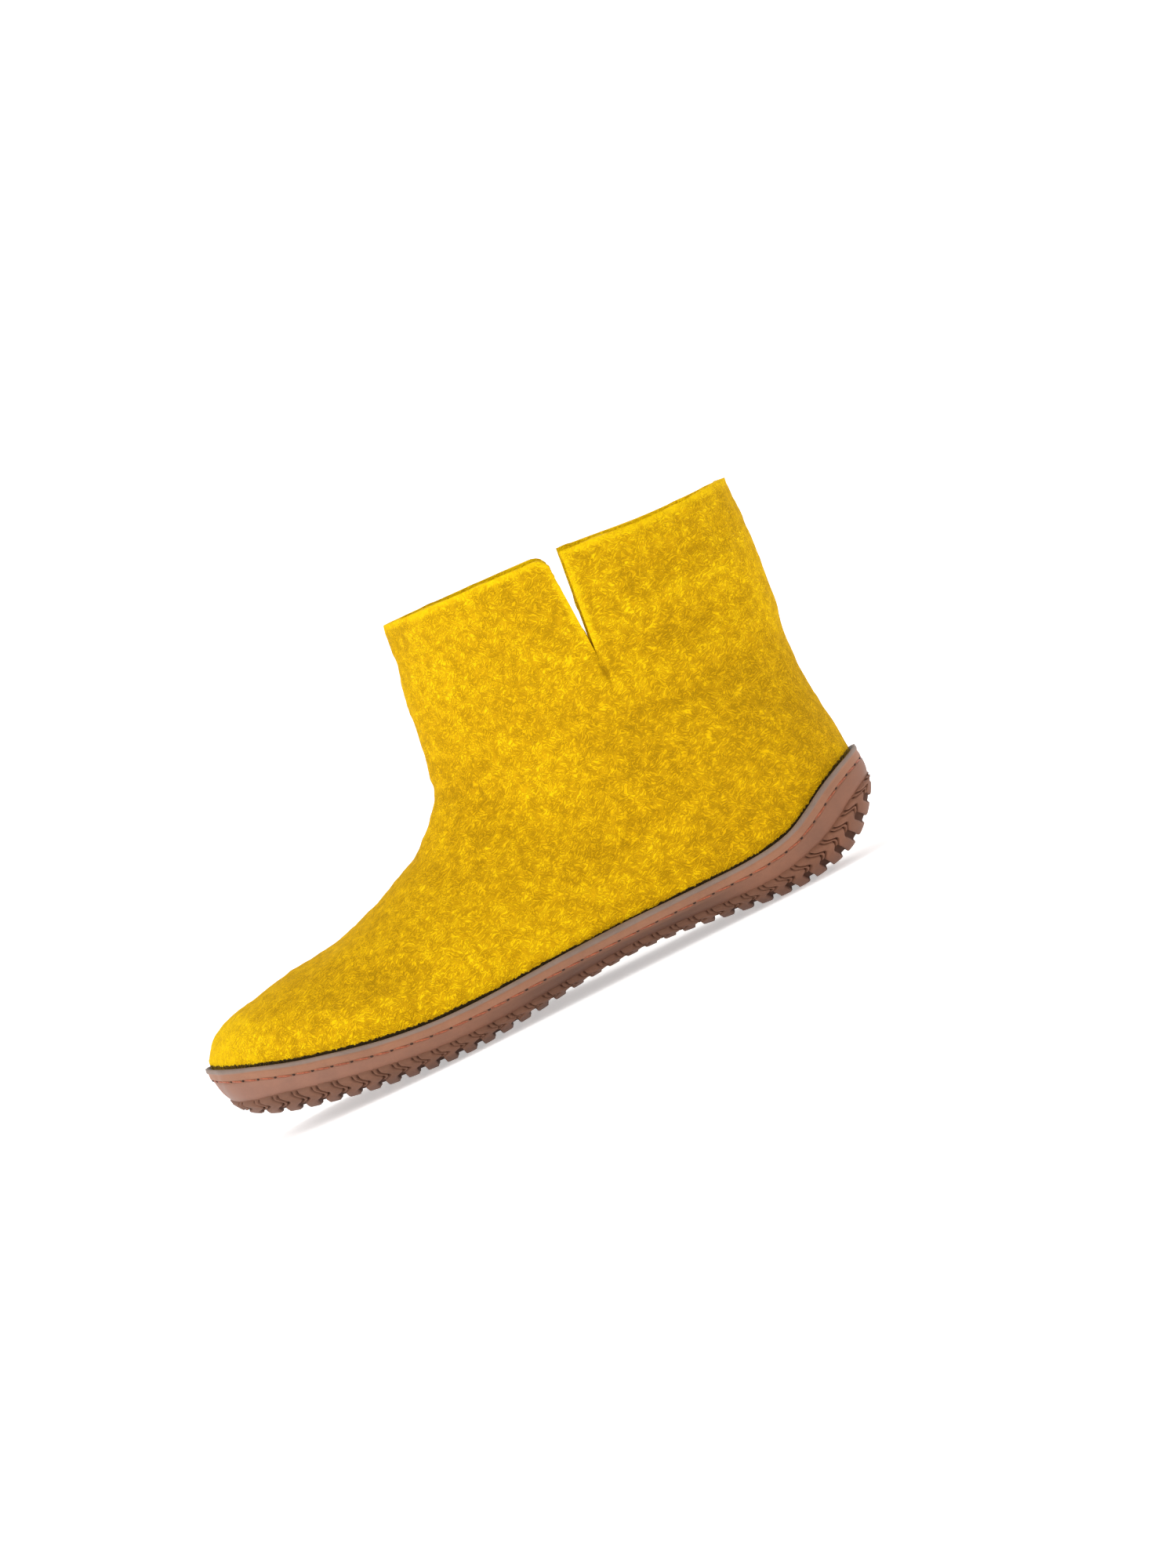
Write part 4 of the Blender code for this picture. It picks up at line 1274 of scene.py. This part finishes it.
def stage_piece():
    """A floor and a wall spun about the middle, with a wide round sweep between them."""
    shape = bmesh.new()
    profile = [(0, 0, 0), (FLOOR_RADIUS, 0, 0), (FLOOR_RADIUS, 0, WALL_TOP)]
    centre, foot, top = (bmesh.ops.create_vert(shape, co=point)["vert"][0] for point in profile)
    edges = [shape.edges.new((centre, foot)), shape.edges.new((foot, top))]
    full_turn = {"cent": (0, 0, 0), "axis": (0, 0, 1), "angle": 2 * math.pi, "use_merge": True}
    bmesh.ops.spin(shape, geom=edges, steps=FLOOR_STEPS, **full_turn)
    bmesh.ops.remove_doubles(shape, verts=shape.verts, dist=MERGE)
    bmesh.ops.bevel(shape, geom=corners(shape), offset=SWEEP, segments=SWEEP_STEPS, **ROUNDING)
    bmesh.ops.recalc_face_normals(shape, faces=shape.faces)
    if sum(face.normal.z for face in shape.faces) < 0:
        bmesh.ops.reverse_faces(shape, faces=shape.faces)
    glow = {"Emission_Color": WHITE, "Emission_Strength": PAPER_GLOW}
    paper = Finish("studio_paper", Roughness=0.9, Base_Color=PAPER_WHITE, **glow)
    as_object("studio_floor", shape, paper.material)


def soft_light():
    """An even sky and three lamps turned to the boot."""
    world = bpy.data.worlds.new("studio_air")
    bpy.context.scene.world = world
    world.use_nodes = True
    sky = world.node_tree.nodes["Background"]
    sky.inputs["Color"].default_value = WHITE
    sky.inputs["Strength"].default_value = SKY_STRENGTH
    for name, place, size, power in LAMPS:
        data = bpy.data.lights.new(name, "AREA")
        data.shape, data.size, data.size_y = "RECTANGLE", *size
        data.energy = power
        lamp = placed(data, name)
        lamp.location = place
        lamp.rotation_euler = (BOOT_MIDDLE - lamp.location).to_track_quat("-Z", "Y").to_euler()


stage_piece()
soft_light()
bpy.context.scene.view_settings.view_transform = "Standard"
print(len(LAMPS), "lamps of", sum(lamp[-1] for lamp in LAMPS), "watts in all")

# %% Camera
LOOK_AT = Vector((-0.0412, 0.0, 0.0707))
VIEW_HEIGHT = 0.604
LENS = 180
SENSOR = 36
ELEVATION = math.radians(2.8)
ROLL = math.radians(26.2)


def camera():
    """A long lens far away, so that the sole's two sides look alike in size."""
    data = bpy.data.cameras.new("camera")
    data.lens, data.sensor_width = LENS, SENSOR
    eye = placed(data, "camera")
    distance = VIEW_HEIGHT * LENS / SENSOR
    back = Vector((0, math.cos(ELEVATION), math.sin(ELEVATION)))
    eye.location = LOOK_AT + back * distance
    facing = (-back).to_track_quat("-Z", "Y").to_matrix().to_4x4()
    roll = Matrix.Rotation(-ROLL, 4, "Z")
    eye.rotation_euler = (facing @ roll).to_euler()
    bpy.context.scene.camera = eye
    print("camera is", round(distance, 2), "m away")


camera()
